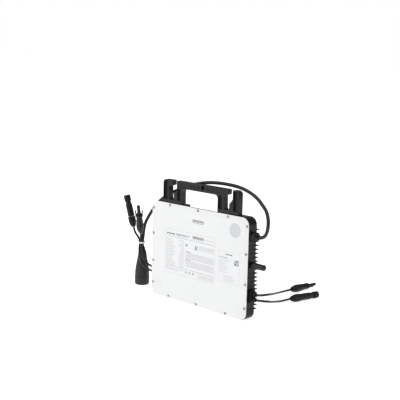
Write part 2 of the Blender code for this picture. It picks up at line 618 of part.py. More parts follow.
def make_socket_connector(label, start, axis):
    """The wider connector that takes a pin connector's sleeve."""
    nut = [(0, 0.0280), (0.0080, 0.0280), (0.0095, 0.0265), (0.0095, 0.0140), (0.0072, 0.0055),
           (0.0050, 0.0), (0, 0.0)]
    nut = turned("nut", nut, along(start, axis, 2 * GAP), axis, 14)
    finish(enlarged(nut, start), f"socket_nut_{label}", "plastic")
    body = [(0.0050, 0.0850), (0.0078, 0.0850), (0.0086, 0.0840), (0.0086, 0.0700), (0.0070, 0.0690),
            (0.0070, 0.0620), (0.0084, 0.0600), (0.0084, 0.0290), (0, 0.0290), (0, 0.0500),
            (0.0050, 0.0500), (0.0050, 0.0850)]
    body = turned("body", body, along(start, axis, 0), axis, 14)
    for side in (-1, 1):
        x = (side * 0.0088 - 0.003, side * 0.0088 + 0.003)
        window = box("window", x, (-0.0033, 0.0033), (0.0560, 0.0720))
        turn = Vector(axis).normalized().to_track_quat("Z", "Y").to_matrix().to_4x4()
        window.data.transform(Matrix.Translation(start) @ turn)
        body = combine(body, window)
    contact = ring("contact", along(start, axis, 0.0495), axis, 0.0024, 0.0015, 0.0240, 10)
    body = combine(body, contact, "UNION")
    finish(enlarged(body, start), f"socket_body_{label}", "plastic")


def make_cables():
    finish(tube("cable", AC_ROUTE, AC_CABLE_RADIUS, 0.0190), "mains_cable", "rubber")
    leads = (("right", "pin", RIGHT_PIN_ROUTE, RIGHT_PIN_AXIS),
             ("right", "socket", RIGHT_SOCKET_ROUTE, RIGHT_SOCKET_AXIS),
             ("left", "pin", LEFT_PIN_ROUTE, LEFT_PIN_AXIS),
             ("left", "socket", LEFT_SOCKET_ROUTE, LEFT_SOCKET_AXIS))
    for label, kind, route, axis in leads:
        finish(tube("lead", route, DC_LEAD_RADIUS, 0.0130), f"solar_{kind}_lead_{label}", "rubber")
        if kind == "pin":
            make_pin_connector(label, route[-1], axis)
        else:
            make_socket_connector(label, route[-1], axis)


def make_plug():
    place = (PLUG_X, PLUG_Y, 0)
    boot = [(0, 0.1122), (0.0056, 0.1122), (0.0075, 0.1060), (0.0100, 0.0985), (0.0122, 0.0900), (0, 0.0900)]
    finish(turned("boot", boot, place, (0, 0, 1), 20), "plug_boot", "rubber")
    body = [(0, 0.0897), (0.0122, 0.0897), (0.0145, 0.0800), (0.0168, 0.0690), (0.0190, 0.0570),
            (0.0203, 0.0440), (0.0205, 0.0330), (0.0200, 0.0278), (0, 0.0278)]
    finish(turned("body", body, place, (0, 0, 1), 28), "plug_body", "rubber")
    cap = [(0, 0.0231), (0.0170, 0.0231), (0.0170, 0.0275), (0.0208, 0.0275), (0.0208, 0.0060),
           (0.0195, 0.0015), (0.0165, 0.0002), (0, 0.0002)]
    cap = turned("cap", cap, place, (0, 0, 1), 28)
    for side in (-1, 1):
        hole = rod("pin_hole", (PLUG_X + side * 0.0095, PLUG_Y, 0.0040), (0, 0, 1), 0.0028, 0.03, 12)
        cap = combine(cap, hole)
    finish(cap, "plug_cap", "rubber")
    insert = rod("insert", (PLUG_X, PLUG_Y, 0.0235), (0, 0, 1), 0.0165, 0.0040, 24)
    for side in (-1, 1):
        pin = rod("pin", (PLUG_X + side * 0.0095, PLUG_Y, 0.0045), (0, 0, 1), 0.0024, 0.0200, 12)
        insert = combine(insert, pin, "UNION")
    finish(insert, "plug_insert", "steel")


def make_tie():
    x, y, z = TIE_PLACE
    strap = ring("strap", TIE_PLACE, (0, 0, 1), 0.0101, 0.0092, 0.0046, 24)
    head = box("head", (x - 0.0124, x - 0.0097), (y - 0.0022, y + 0.0022), (z - 0.0005, z + 0.0051), 0.0004)
    finish(combine(strap, head, "UNION"), "cable_tie", "white_plastic")


def make_antenna():
    start = (SHELL_HALF + GAP, 0, ANTENNA_Z)
    socket = [(0, 0.0085), (0.0031, 0.0085), (0.0031, 0.0008), (0.0060, 0.0008), (0.0060, 0.0),
              (0.0031, 0.0), (0.0031, -0.0105), (0, -0.0105)]
    finish(turned("socket", socket, start, (1, 0, 0), 16), "antenna_socket", "brass")
    shift = (start[0] + 0.0012, 0, ANTENNA_Z)
    stub = [(0, 0.0415), (0.0042, 0.0412), (0.0065, 0.0396), (0.0075, 0.0368), (0.0077, 0.0335),
            (0.0074, 0.0315), (0.0075, 0.0150), (0.0080, 0.0120), (0.0084, 0.0), (0.0032, 0.0),
            (0.0032, 0.0080), (0, 0.0080)]
    finish(turned("stub", stub, shift, (1, 0, 0), 24), "antenna", "rubber")


def make_vent():
    vent = [(0, 0.0025), (0.0050, 0.0025), (0.0062, 0.0015), (0.0062, 0), (0.0037, 0),
            (0.0037, -0.0060), (0, -0.0060)]
    finish(turned("vent", vent, (-SHELL_HALF - GAP, 0, VENT_Z), (-1, 0, 0), 20), "pressure_vent", "plastic")


make_cover()
make_housing()
make_bracket()
make_board()
make_components()
make_mains_gland()
make_solar_gland(1, "right")
make_solar_gland(-1, "left")
make_cables()
make_plug()
make_tie()
make_antenna()
make_vent()
bpy.data.collections.remove(CUTTERS)
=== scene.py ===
"""Looks of the string inverter: detailed pieces, materials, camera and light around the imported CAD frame.

Everything is in metres in the frame of the CAD part: X across the cover, Y from the cover to the
heat sink, Z up, and the origin in the middle of the housing's flat bottom.
"""
import math
import random

import bmesh
import bpy
from mathutils import Matrix, Quaternion, Vector


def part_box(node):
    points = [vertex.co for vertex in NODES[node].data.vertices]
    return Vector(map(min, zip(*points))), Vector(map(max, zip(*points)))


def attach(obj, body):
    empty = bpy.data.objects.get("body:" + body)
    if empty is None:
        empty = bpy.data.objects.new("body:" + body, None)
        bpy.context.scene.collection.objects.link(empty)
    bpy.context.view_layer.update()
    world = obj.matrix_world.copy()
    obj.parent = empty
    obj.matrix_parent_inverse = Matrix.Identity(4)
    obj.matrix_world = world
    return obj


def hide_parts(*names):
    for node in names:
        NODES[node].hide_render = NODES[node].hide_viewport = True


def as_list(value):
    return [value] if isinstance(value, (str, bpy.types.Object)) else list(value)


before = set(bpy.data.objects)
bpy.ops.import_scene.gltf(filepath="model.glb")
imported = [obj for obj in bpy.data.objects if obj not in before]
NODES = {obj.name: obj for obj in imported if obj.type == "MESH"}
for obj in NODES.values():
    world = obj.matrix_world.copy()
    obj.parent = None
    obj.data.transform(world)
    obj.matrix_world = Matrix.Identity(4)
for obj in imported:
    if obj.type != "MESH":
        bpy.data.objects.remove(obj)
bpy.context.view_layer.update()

WHITE = (1.0, 1.0, 1.0, 1.0)
FLOOR_GLOW = 0.78
SURROUND_SEEN = 1.0
SURROUND_LIGHT = 0.30

# The camera: where it stands, how it is turned (azimuth, elevation, roll), and its lens
CAMERA_PLACE = (1.4037, -1.4693, 0.6254)
CAMERA_ANGLES = (43.92, 9.63, 1.397)
CAMERA_LENS = 72.0

# Sizes shared with the CAD part
GAP = 0.0003
CORNER_RADIUS = 0.020
WALL = 0.0035
TOP_SCREW_X = (-0.1036, 0.0, 0.1036)
SIDE_SCREW_Z = (0.0322, 0.0935, 0.1698, 0.2394)
SCREW_INSET = 0.0054
FIN_COUNT = 21
FIN_FIRST_Z = 0.0265
FIN_PITCH = 0.0101
TOP_RECESS_HALF = 0.060
AC_Y = -0.0015
AC_Z = 0.2140
ANTENNA_Z = 0.1415
DC_Z = 0.0625
DC_LEAD_OFFSET = 0.0065
VENT_Z = 0.1415
AC_CABLE_RADIUS = 0.0045
DC_LEAD_RADIUS = 0.0030
CONNECTOR_SCALE = 1.10
PLUG_X = -0.2556
PLUG_Y = 0.022

COVER_LOW, COVER_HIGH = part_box("front_cover")
SHELL_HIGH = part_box("housing")[1]
BRACKET_LOW, BRACKET_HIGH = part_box("carrying_bracket")
FRONT_Y = COVER_LOW.y
HALF = COVER_HIGH.x
SHELL_HALF = SHELL_HIGH.x
SHELL_BACK = FRONT_Y + 0.0325
FIN_BACK = SHELL_HIGH.y
FIN_Z = [FIN_FIRST_Z + FIN_PITCH * index for index in range(FIN_COUNT)]

# Routes of the free cables, as in the CAD part: points on their centrelines
AC_ROUTE = [
    (0.1925, -0.0015, 0.2140), (0.2008, -0.0020, 0.2154), (0.2098, -0.0038, 0.2198),
    (0.2172, -0.0060, 0.2270), (0.2220, -0.0076, 0.2370), (0.2235, -0.0074, 0.2475),
    (0.2208, -0.0040, 0.2585), (0.2130, 0.0025, 0.2695), (0.2000, 0.0110, 0.2805),
    (0.1815, 0.0190, 0.2910), (0.1600, 0.0260, 0.3025), (0.1355, 0.0300, 0.3125),
    (0.1090, 0.0290, 0.3210), (0.0850, 0.0250, 0.3255), (0.0610, 0.0205, 0.3275),
    (0.0380, 0.0160, 0.3280), (0.0120, 0.0118, 0.3265), (-0.0180, 0.0092, 0.3215),
    (-0.0580, 0.0084, 0.3110), (-0.0950, 0.0090, 0.2968), (-0.1255, 0.0105, 0.2830),
    (-0.1520, 0.0125, 0.2695), (-0.1740, 0.0150, 0.2565), (-0.1980, 0.0190, 0.2380),
    (-0.2195, 0.0222, 0.2160), (-0.2360, 0.0240, 0.1960), (-0.2465, 0.0242, 0.1790),
    (-0.2515, 0.0237, 0.1610), (-0.2540, 0.0230, 0.1400), (-0.2552, 0.0222, 0.1270),
    (-0.2556, 0.0220, 0.1125),
]
RIGHT_PIN_ROUTE = [
    (0.1905, 0.0000, 0.0690), (0.2047, 0.0024, 0.0716), (0.2113, 0.0092, 0.0729),
    (0.2114, 0.0200, 0.0717), (0.2060, 0.0344, 0.0683), (0.1964, 0.0518, 0.0632),
    (0.1834, 0.0718, 0.0570), (0.1682, 0.0940, 0.0498), (0.1519, 0.1178, 0.0420),
    (0.1356, 0.1428, 0.0342), (0.1202, 0.1686, 0.0267), (0.1070, 0.1947, 0.0201),
    (0.0969, 0.2206, 0.0148), (0.0910, 0.2458, 0.0119), (0.0905, 0.2700, 0.0108),
]
RIGHT_SOCKET_ROUTE = [
    (0.1905, 0.0000, 0.0560), (0.2051, 0.0023, 0.0570), (0.2120, 0.0088, 0.0565),
    (0.2124, 0.0190, 0.0540), (0.2078, 0.0325, 0.0499), (0.1994, 0.0487, 0.0444),
    (0.1886, 0.0671, 0.0384), (0.1766, 0.0872, 0.0318), (0.1648, 0.1085, 0.0251),
    (0.1545, 0.1306, 0.0188), (0.1469, 0.1529, 0.0132), (0.1435, 0.1748, 0.0109),
    (0.1455, 0.1960, 0.0108),
]
LEFT_PIN_ROUTE = [
    (-0.1905, 0.0000, 0.0690), (-0.1965, -0.0008, 0.0695), (-0.2040, -0.0035, 0.0730),
    (-0.2120, -0.0062, 0.0790), (-0.2210, -0.0062, 0.0865), (-0.2310, -0.0015, 0.0950),
    (-0.2405, 0.0055, 0.1040), (-0.2488, 0.0113, 0.1115), (-0.2521, 0.0145, 0.1195),
    (-0.2524, 0.0146, 0.1265), (-0.2537, 0.0146, 0.1335), (-0.2545, 0.0145, 0.1433),
    (-0.2523, 0.0120, 0.1488), (-0.2506, 0.0100, 0.1531),
]
LEFT_SOCKET_ROUTE = [
    (-0.1905, 0.0000, 0.0560), (-0.1970, -0.0008, 0.0558), (-0.2060, -0.0040, 0.0590),
    (-0.2160, -0.0075, 0.0660), (-0.2270, -0.0075, 0.0755), (-0.2390, -0.0020, 0.0880),
    (-0.2500, 0.0055, 0.1000), (-0.2566, 0.0118, 0.1110), (-0.2586, 0.0147, 0.1195),
    (-0.2588, 0.0149, 0.1260), (-0.2612, 0.0147, 0.1315), (-0.2660, 0.0138, 0.1385),
    (-0.2730, 0.0122, 0.1460), (-0.2777, 0.0111, 0.1537), (-0.2805, 0.0105, 0.1635),
]
LEADS = {
    "right": {"pin": (RIGHT_PIN_ROUTE, (0.105, 0.995, 0.0)),
              "socket": (RIGHT_SOCKET_ROUTE, (0.242, 0.970, 0.0))},
    "left": {"pin": (LEFT_PIN_ROUTE, (0.334, -0.394, 0.857)),
             "socket": (LEFT_SOCKET_ROUTE, (-0.270, -0.060, 0.961))},
}


def linked(name, data):
    """A new object in the scene."""
    made = bpy.data.objects.new(name, data)
    bpy.context.scene.collection.objects.link(made)
    return made


# Camera, light and floor

def make_camera():
    azimuth, elevation, roll = (math.radians(angle) for angle in CAMERA_ANGLES)
    away = math.cos(elevation)
    back = Vector((math.sin(azimuth) * away, -math.cos(azimuth) * away, math.sin(elevation)))
    data = bpy.data.cameras.new("camera")
    data.lens = CAMERA_LENS
    camera = linked("camera", data)
    camera.location = CAMERA_PLACE
    camera.rotation_mode = "QUATERNION"
    camera.rotation_quaternion = back.to_track_quat("Z", "Y") @ Quaternion((0, 0, 1), roll)
    bpy.context.scene.camera = camera


def softbox(name, place, aim, size, power):
    data = bpy.data.lights.new(name, "AREA")
    data.shape = "RECTANGLE"
    data.size, data.size_y = size
    data.energy = power
    light = linked(name, data)
    light.location = place
    light.rotation_mode = "QUATERNION"
    light.rotation_quaternion = (Vector(place) - Vector(aim)).to_track_quat("Z", "Y")


def set_inputs(node, **values):
    """Set a node's sockets, each named with _ for its spaces."""
    for name, value in values.items():
        node.inputs[name.replace("_", " ")].default_value = value


def wire(source, output, target, socket):
    source.id_data.links.new(source.outputs[output], target.inputs[socket])


def make_studio():
    """A white ground: the camera sees a surround brighter than the one that lights the object."""
    world = bpy.data.worlds.new("studio")
    bpy.context.scene.world = world
    world.use_nodes = True
    tree = world.node_tree
    background = tree.nodes["Background"]
    set_inputs(background, Color=WHITE)
    rays = tree.nodes.new("ShaderNodeLightPath")
    strength = tree.nodes.new("ShaderNodeMapRange")
    set_inputs(strength, To_Min=SURROUND_LIGHT, To_Max=SURROUND_SEEN)
    wire(rays, "Is Camera Ray", strength, "Value")
    wire(strength, "Result", background, "Strength")
    softbox("key", (-1.5, -2.3, 2.1), (0, 0, 0.12), (2.2, 2.0), 50)
    softbox("top", (0.3, 0.5, 2.4), (0, 0, 0.1), (1.8, 1.4), 16)
    softbox("edge", (1.7, 0.9, 1.3), (0.1, 0, 0.15), (0.5, 1.8), 5)
    bpy.context.scene.view_settings.view_transform = "Standard"

    bm = bmesh.new()
    bmesh.ops.create_grid(bm, x_segments=1, y_segments=1, size=60.0)
    floor = from_bmesh("floor", bm)
    floor.location.z = -0.0002
    pale = bpy.data.materials.new("pale_floor")
    pale.use_nodes = True
    shader = pale.node_tree.nodes["Principled BSDF"]
    set_inputs(shader, Base_Color=(0.93, 0.93, 0.93, 1.0), Roughness=0.9, Emission_Color=WHITE,
               Emission_Strength=FLOOR_GLOW)
    floor.data.materials.append(pale)


# Materials

def surface(name, color, roughness, metallic=0.0, grain=(1500, 0.00003, 0.4), mottle=0.12,
            mottle_scale=60, spread=0.08, worn=0.0, stretch=(1, 1, 1), coat=0.0, specular=0.5):
    """A moulded, cast, coated or drawn surface: fine grain, uneven colour and gloss, lighter worn edges."""
    made = bpy.data.materials.new(name)
    made.use_nodes = True
    tree = made.node_tree
    shader = tree.nodes["Principled BSDF"]
    set_inputs(shader, Metallic=metallic, Specular_IOR_Level=specular, Coat_Weight=coat,
               Coat_Roughness=0.15)
    place = tree.nodes.new("ShaderNodeTexCoord")
    mapping = tree.nodes.new("ShaderNodeMapping")
    set_inputs(mapping, Scale=stretch)
    wire(place, "Object", mapping, "Vector")

    fine = noise(tree, mapping, grain[0], 3)
    broad = noise(tree, mapping, mottle_scale, 4)
    shade = tree.nodes.new("ShaderNodeValToRGB")
    shade.color_ramp.elements[0].position = 0.3
    shade.color_ramp.elements[1].position = 0.7
    shade.color_ramp.elements[0].color = (*(channel * (1 - mottle) for channel in color), 1)
    shade.color_ramp.elements[1].color = (*(min(1.0, channel * (1 + mottle)) for channel in color), 1)
    wire(broad, "Fac", shade, "Fac")
    tint = shade.outputs["Color"]
    if worn:
        edges = tree.nodes.new("ShaderNodeNewGeometry")
        ramp = tree.nodes.new("ShaderNodeMapRange")
        set_inputs(ramp, From_Min=0.52, From_Max=0.62, To_Max=worn)
        wire(edges, "Pointiness", ramp, "Value")
        mix = tree.nodes.new("ShaderNodeMix")
        mix.data_type = "RGBA"
        wire(ramp, "Result", mix, "Factor")
        tree.links.new(tint, mix.inputs["A"])
        mix.inputs["B"].default_value = (*(min(1.0, channel * 3 + 0.04) for channel in color), 1)
        tint = mix.outputs["Result"]
    tree.links.new(tint, shader.inputs["Base Color"])

    gloss = tree.nodes.new("ShaderNodeMapRange")
    set_inputs(gloss, To_Min=max(0.05, roughness - spread), To_Max=min(1.0, roughness + spread))
    wire(fine, "Fac", gloss, "Value")
    wire(gloss, "Result", shader, "Roughness")

    bump = tree.nodes.new("ShaderNodeBump")
    set_inputs(bump, Distance=grain[1], Strength=grain[2])
    wire(fine, "Fac", bump, "Height")
    wire(bump, "Normal", shader, "Normal")
    return made


def noise(tree, mapping, scale, detail):
    made = tree.nodes.new("ShaderNodeTexNoise")
    set_inputs(made, Scale=scale, Detail=detail)
    wire(mapping, "Vector", made, "Vector")
    return made


def wound_copper():
    """Enamelled wire laid turn beside turn."""
    made = surface("enamelled_copper", (0.50, 0.19, 0.06), 0.32, metallic=0.7, coat=0.5)
    tree = made.node_tree
    wave = tree.nodes.new("ShaderNodeTexWave")
    set_inputs(wave, Scale=420)
    wave.bands_direction = "Y"
    bump = tree.nodes["Bump"]
    tree.links.new(tree.nodes["Mapping"].outputs["Vector"], wave.inputs["Vector"])
    wire(wave, "Fac", bump, "Height")
    set_inputs(bump, Distance=0.0004)
    return made


def circuit_board():
    """Green solder mask over copper tracks, which show as paler cells."""
    made = surface("solder_mask", (0.012, 0.10, 0.045), 0.38, coat=0.3, mottle=0.2)
    tree = made.node_tree
    cells = tree.nodes.new("ShaderNodeTexVoronoi")
    cells.distance = "CHEBYCHEV"
    cells.feature = "F1"
    set_inputs(cells, Scale=150)
    tracks = tree.nodes.new("ShaderNodeValToRGB")
    tracks.color_ramp.interpolation = "CONSTANT"
    tracks.color_ramp.elements[0].color = (0.30, 0.30, 0.28, 1)
    tracks.color_ramp.elements[1].position = 0.12
    tracks.color_ramp.elements[1].color = (0.012, 0.10, 0.045, 1)
    third = tracks.color_ramp.elements.new(0.42)
    third.color = (0.020, 0.16, 0.07, 1)
    tree.links.new(tree.nodes["Mapping"].outputs["Vector"], cells.inputs["Vector"])
    wire(cells, "Distance", tracks, "Fac")
    tree.links.new(tracks.outputs["Color"], tree.nodes["Principled BSDF"].inputs["Base Color"])
    return made


def make_materials():
    return {
        "cover": surface("powder_coat", (0.745, 0.75, 0.755), 0.42, grain=(1100, 0.00004, 0.25),
                         mottle=0.012, mottle_scale=25, spread=0.05),
        "cast": surface("black_casting", (0.004, 0.0042, 0.005), 0.34, grain=(1300, 0.00006, 0.4),
                        mottle=0.25, mottle_scale=90, worn=0.2, specular=0.18),
        "plastic": surface("moulded_plastic", (0.009, 0.0093, 0.0102), 0.36, grain=(2000, 0.00005, 0.4),
                           mottle=0.15, mottle_scale=45, worn=0.2, specular=0.22),
        "rubber": surface("cable_jacket", (0.015, 0.0152, 0.016), 0.42, grain=(1700, 0.00003, 0.35),
                          mottle=0.2, mottle_scale=30, specular=0.32),
        "steel": surface("stainless_steel", (0.40, 0.41, 0.42), 0.26, metallic=1.0,
                         grain=(2500, 0.00001, 0.3), mottle=0.1, stretch=(1, 1, 6)),
        "brass": surface("plated_brass", (0.66, 0.52, 0.26), 0.28, metallic=1.0, grain=(2200, 0.00001, 0.3)),
        "board": circuit_board(),
        "ferrite": surface("sintered_ferrite", (0.045, 0.045, 0.048), 0.65, grain=(3000, 0.00005, 0.6)),
        "copper": wound_copper(),
        "sleeve": surface("shrink_sleeve", (0.02, 0.035, 0.10), 0.30, grain=(900, 0.00002, 0.3), coat=0.3),
        "white_plastic": surface("white_nylon", (0.80, 0.80, 0.78), 0.45, grain=(1500, 0.00003, 0.3),
                                 mottle=0.03),
        "label": surface("label_film", (0.74, 0.745, 0.755), 0.30, grain=(700, 0.00001, 0.2), mottle=0.008,
                         mottle_scale=18, spread=0.04),
        "badge": surface("badge_film", (0.57, 0.575, 0.60), 0.36, grain=(900, 0.00002, 0.3), mottle=0.02,
                         mottle_scale=40, spread=0.05),
        "ink": surface("dark_ink", (0.10, 0.10, 0.11), 0.5, grain=(4000, 0.00001, 0.3), mottle=0.35,
                       mottle_scale=1500),
        "pale_ink": surface("pale_ink", (0.46, 0.46, 0.48), 0.5, grain=(4000, 0.00001, 0.3), mottle=0.15,
                            mottle_scale=1500),
    }


# Mesh tools

def from_bmesh(name, bm):
    mesh = bpy.data.meshes.new(name)
    bm.to_mesh(mesh)
    bm.free()
    return linked(name, mesh)


def evaluated(obj, weld=0.000005):
    """The object as one plain mesh in place, its doubled points merged; the source is removed."""
    bpy.context.view_layer.update()
    source = obj.evaluated_get(bpy.context.evaluated_depsgraph_get())
    mesh = bpy.data.meshes.new_from_object(source)
    mesh.transform(obj.matrix_world)
    name = obj.name
    bpy.data.objects.remove(obj, do_unlink=True)
    bm = bmesh.new()
    bm.from_mesh(mesh)
    bpy.data.meshes.remove(mesh)
    bmesh.ops.remove_doubles(bm, verts=bm.verts, dist=weld)
    bmesh.ops.recalc_face_normals(bm, faces=bm.faces)
    return from_bmesh(name, bm)


def rounded_box(name, x, y, z, radius=0.0, segments=2):
    bm = bmesh.new()
    bmesh.ops.create_cube(bm, size=1.0)
    bmesh.ops.scale(bm, vec=Vector((x[1] - x[0], y[1] - y[0], z[1] - z[0])), verts=bm.verts)
    bmesh.ops.translate(bm, vec=Vector((x[1] + x[0], y[1] + y[0], z[1] + z[0])) / 2, verts=bm.verts)
    if radius:
        bmesh.ops.bevel(bm, geom=bm.edges[:], offset=radius, segments=segments, profile=0.5, affect="EDGES")
    return from_bmesh(name, bm)


def rounded_rectangle(x, z, radius, steps=8):
    points = []
    corners = ((x[1], z[1], 0), (x[0], z[1], 90), (x[0], z[0], 180), (x[1], z[0], 270))
    for corner_x, corner_z, start in corners:
        centre_x = corner_x - math.copysign(radius, corner_x - (x[0] + x[1]) / 2)
        centre_z = corner_z - math.copysign(radius, corner_z - (z[0] + z[1]) / 2)
        for step in range(steps + 1):
            angle = math.radians(start + 90 * step / steps)
            points.append((centre_x + radius * math.cos(angle), centre_z + radius * math.sin(angle)))
    return points


def corner_arc(before, point, after, radius, steps):
    """The points that round one corner of a line."""
    here = Vector(point)
    back = Vector(before) - here
    on = Vector(after) - here
    reach = min(radius, back.length * 0.45, on.length * 0.45)
    start = here + back.normalized() * reach
    end = here + on.normalized() * reach
    shares = [step / steps for step in range(steps + 1)]
    return [tuple(start * (1 - t) ** 2 + here * 2 * t * (1 - t) + end * t ** 2) for t in shares]


def rounded_outline(points, radius, steps=4):
    """A closed outline with each of its corners rounded."""
    made = []
    for index, point in enumerate(points):
        made += corner_arc(points[index - 1], point, points[(index + 1) % len(points)], radius, steps)
    return made


def circle(x, z, radius, steps=24):
    turn = 2 * math.pi / steps
    return [(x + radius * math.cos(turn * i), z + radius * math.sin(turn * i)) for i in range(steps)]


# How a flat outline is turned to face along each axis
FACING = {
    "X": Matrix(((0, 0, 1), (1, 0, 0), (0, 1, 0))).to_4x4(),
    "Y": Matrix(((1, 0, 0), (0, 0, -1), (0, 1, 0))).to_4x4(),
    "Z": Matrix.Identity(4),
}


def plate(name, outlines, limits, facing="Y", edge=0.0, steps=2):
    """Flat outlines, holes included, made solid between two places along an axis, with round edges."""
    curve = bpy.data.curves.new(name, "CURVE")
    curve.dimensions = "2D"
    curve.fill_mode = "BOTH"
    curve.extrude = (limits[1] - limits[0]) / 2 - edge
    if edge:
        curve.bevel_depth = edge
        curve.bevel_resolution = steps
        curve.offset = -edge
    for outline in outlines:
        spline = curve.splines.new("POLY")
        spline.points.add(len(outline) - 1)
        for point, (u, v) in zip(spline.points, outline):
            point.co = (u, v, 0, 1)
        spline.use_cyclic_u = True
    made = linked(name, curve)
    middle = {"X": (1, 0, 0), "Y": (0, 1, 0), "Z": (0, 0, 1)}[facing]
    made.matrix_world = Matrix.Translation(Vector(middle) * (limits[0] + limits[1]) / 2) @ FACING[facing]
    return evaluated(made)


def placed(piece, start, axis):
    """A piece modelled along Z at the origin, moved to a start and turned along an axis."""
    turn = Vector(axis).normalized().to_track_quat("Z", "Y").to_matrix().to_4x4()
    piece.data.transform(Matrix.Translation(start) @ turn)
    return piece


def lathe(name, profile, start=(0, 0, 0), axis=(0, 0, 1), steps=48, shape=None):
    """A turned solid from (radius, distance) points; shape may change a radius by its angle and distance."""
    bm = bmesh.new()
    rings = []
    for radius, along in profile:
        if radius == 0:
            rings.append([bm.verts.new((0, 0, along))])
            continue
        ring = []
        for step in range(steps):
            angle = 2 * math.pi * step / steps
            reach = shape(radius, angle, along) if shape else radius
            ring.append(bm.verts.new((reach * math.cos(angle), reach * math.sin(angle), along)))
        rings.append(ring)
    for low, high in zip(rings, rings[1:]):
        for step in range(steps):
            after = (step + 1) % steps
            corners = [low[step % len(low)], low[after % len(low)],
                       high[after % len(high)], high[step % len(high)]]
            corners = list(dict.fromkeys(corners))
            if len(corners) > 2:
                bm.faces.new(corners)
    bmesh.ops.remove_doubles(bm, verts=bm.verts, dist=0.000001)
    bmesh.ops.recalc_face_normals(bm, faces=bm.faces)
    return placed(from_bmesh(name, bm), start, axis)


def rod(name, radius, length, start, axis, steps):
    return lathe(name, [(0, length), (radius, length), (radius, 0), (0, 0)], start, axis, steps)


def softened(profile, radius, steps=3):
    """A lathe profile with its corners rounded, its two ends kept."""
    made = [profile[0]]
    for before, point, after in zip(profile, profile[1:], profile[2:]):
        made += corner_arc(before, point, after, radius, steps)
    return made + [profile[-1]]


def merged(name, pieces):
    """Several pieces as one object."""
    bm = bmesh.new()
    for piece in pieces:
        bm.from_mesh(piece.data)
        bpy.data.objects.remove(piece, do_unlink=True)
    return from_bmesh(name, bm)


def cut(base, tool, operation="DIFFERENCE", solver="EXACT"):
    modifier = base.modifiers.new("cut", "BOOLEAN")
    modifier.operation = operation
    modifier.object = tool
    modifier.solver = solver
    result = evaluated(base, 0.0000005)
    bpy.data.objects.remove(tool, do_unlink=True)
    return result


def smooth_route(route, spacing):
    """Points at an even spacing along a smooth curve through the route's points."""
    dense = []
    ends = [2 * Vector(route[0]) - Vector(route[1])]
    ends += [Vector(point) for point in route]
    ends += [2 * Vector(route[-1]) - Vector(route[-2])]
    for before, here, there, after in zip(ends, ends[1:], ends[2:], ends[3:]):
        for step in range(12):
            t = step / 12
            dense.append(
                0.5 * (2 * here + (there - before) * t
                       + (2 * before - 5 * here + 4 * there - after) * t * t
                       + (3 * here - before - 3 * there + after) * t ** 3))
    dense.append(ends[-2])
    lengths = [0.0]
    for first, second in zip(dense, dense[1:]):
        lengths.append(lengths[-1] + (second - first).length)
    count = max(2, round(lengths[-1] / spacing))
    points = []
    index = 0
    for step in range(count + 1):
        target = lengths[-1] * step / count
        while index < len(dense) - 2 and lengths[index + 1] < target:
            index += 1
        share = (target - lengths[index]) / (lengths[index + 1] - lengths[index])
        points.append(dense[index].lerp(dense[index + 1], min(1.0, share)))
    return points


def settle(piece, name, material, slot, *nodes, body="unit", angle=35):
    """Finish a piece: its name, shading and material, and the body and CAD nodes that it goes with."""
    piece.name = name
    if piece.type == "MESH":
        piece.data.name = name
        piece.data.shade_smooth()
        piece.data.set_sharp_from_angle(angle=math.radians(angle))
        weighted = piece.modifiers.new("even_shading", "WEIGHTED_NORMAL")
        weighted.keep_sharp = True
    piece.data.materials.clear()
    piece.data.materials.append(MATERIALS[material])
    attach(piece, body)
    if nodes:
        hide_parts(*nodes)
    return piece


# Cables

def make_cable(name, route, radius, node):
    curve = bpy.data.curves.new(name, "CURVE")
    curve.dimensions = "3D"
    curve.bevel_depth = radius
    curve.bevel_resolution = 6
    curve.use_fill_caps = True
    points = smooth_route(route, 0.004)
    spline = curve.splines.new("POLY")
    spline.points.add(len(points) - 1)
    for point, place in zip(spline.points, points):
        point.co = (*place, 1)
    spline.use_smooth = True
    cable = linked(name, curve)
    settle(cable, name, "rubber", "rubber", node)
    length = sum((second - first).length for first, second in zip(points, points[1:]))
    return cable, length


# Casing

def screw_places():
    half = HALF - SCREW_INSET
    places = [(x, z) for x in TOP_SCREW_X for z in (SCREW_INSET, COVER_HIGH.z - SCREW_INSET)]
    places += [(x, z) for x in (-half, half) for z in SIDE_SCREW_Z]
    return places


def make_cover():
    """The powder-coated front plate: its field stands 0.25 mm proud of the border that holds the screws."""
    border = 0.0085
    step = 0.00025
    outline = rounded_rectangle((-HALF, HALF), (COVER_LOW.z, COVER_HIGH.z), CORNER_RADIUS, 12)
    cover = plate("cover", [outline], (FRONT_Y, COVER_HIGH.y), edge=0.0005, steps=3)
    field = rounded_rectangle((-HALF + border, HALF - border), (COVER_LOW.z + border, COVER_HIGH.z - border),
                              CORNER_RADIUS - border, 12)
    around = rounded_rectangle((-HALF - 0.01, HALF + 0.01), (-0.01, COVER_HIGH.z + 0.01), 0.03, 12)
    frame_cut = plate("border", [around, field], (FRONT_Y - 0.002, FRONT_Y + step))
    cover = cut(cover, frame_cut)
    dimples = [plate("dimple", [circle(x, z, 0.0043)], (FRONT_Y - 0.002, FRONT_Y + 0.00055))
               for x, z in screw_places()]
    cover = cut(cover, merged("dimples", dimples))
    settle(cover, "cover_plate", "cover", "cover", "front_cover", angle=25)


def star_recess(radius, depth, top):
    """The six-lobed recess of a screw head, as a cutter."""
    outline = []
    for index in range(48):
        angle = 2 * math.pi * index / 48
        reach = radius * (0.86 + 0.14 * math.cos(6 * angle))
        outline.append((reach * math.cos(angle), reach * math.sin(angle)))
    return plate("recess", [outline], (top - depth, top + 0.002), facing="Z")


def bolt_place(number, z):
    """The axis of a bracket screw, at a height."""
    low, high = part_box(f"bracket_screw_{number}")
    return (low.x + high.x) / 2, (low.y + high.y) / 2, z


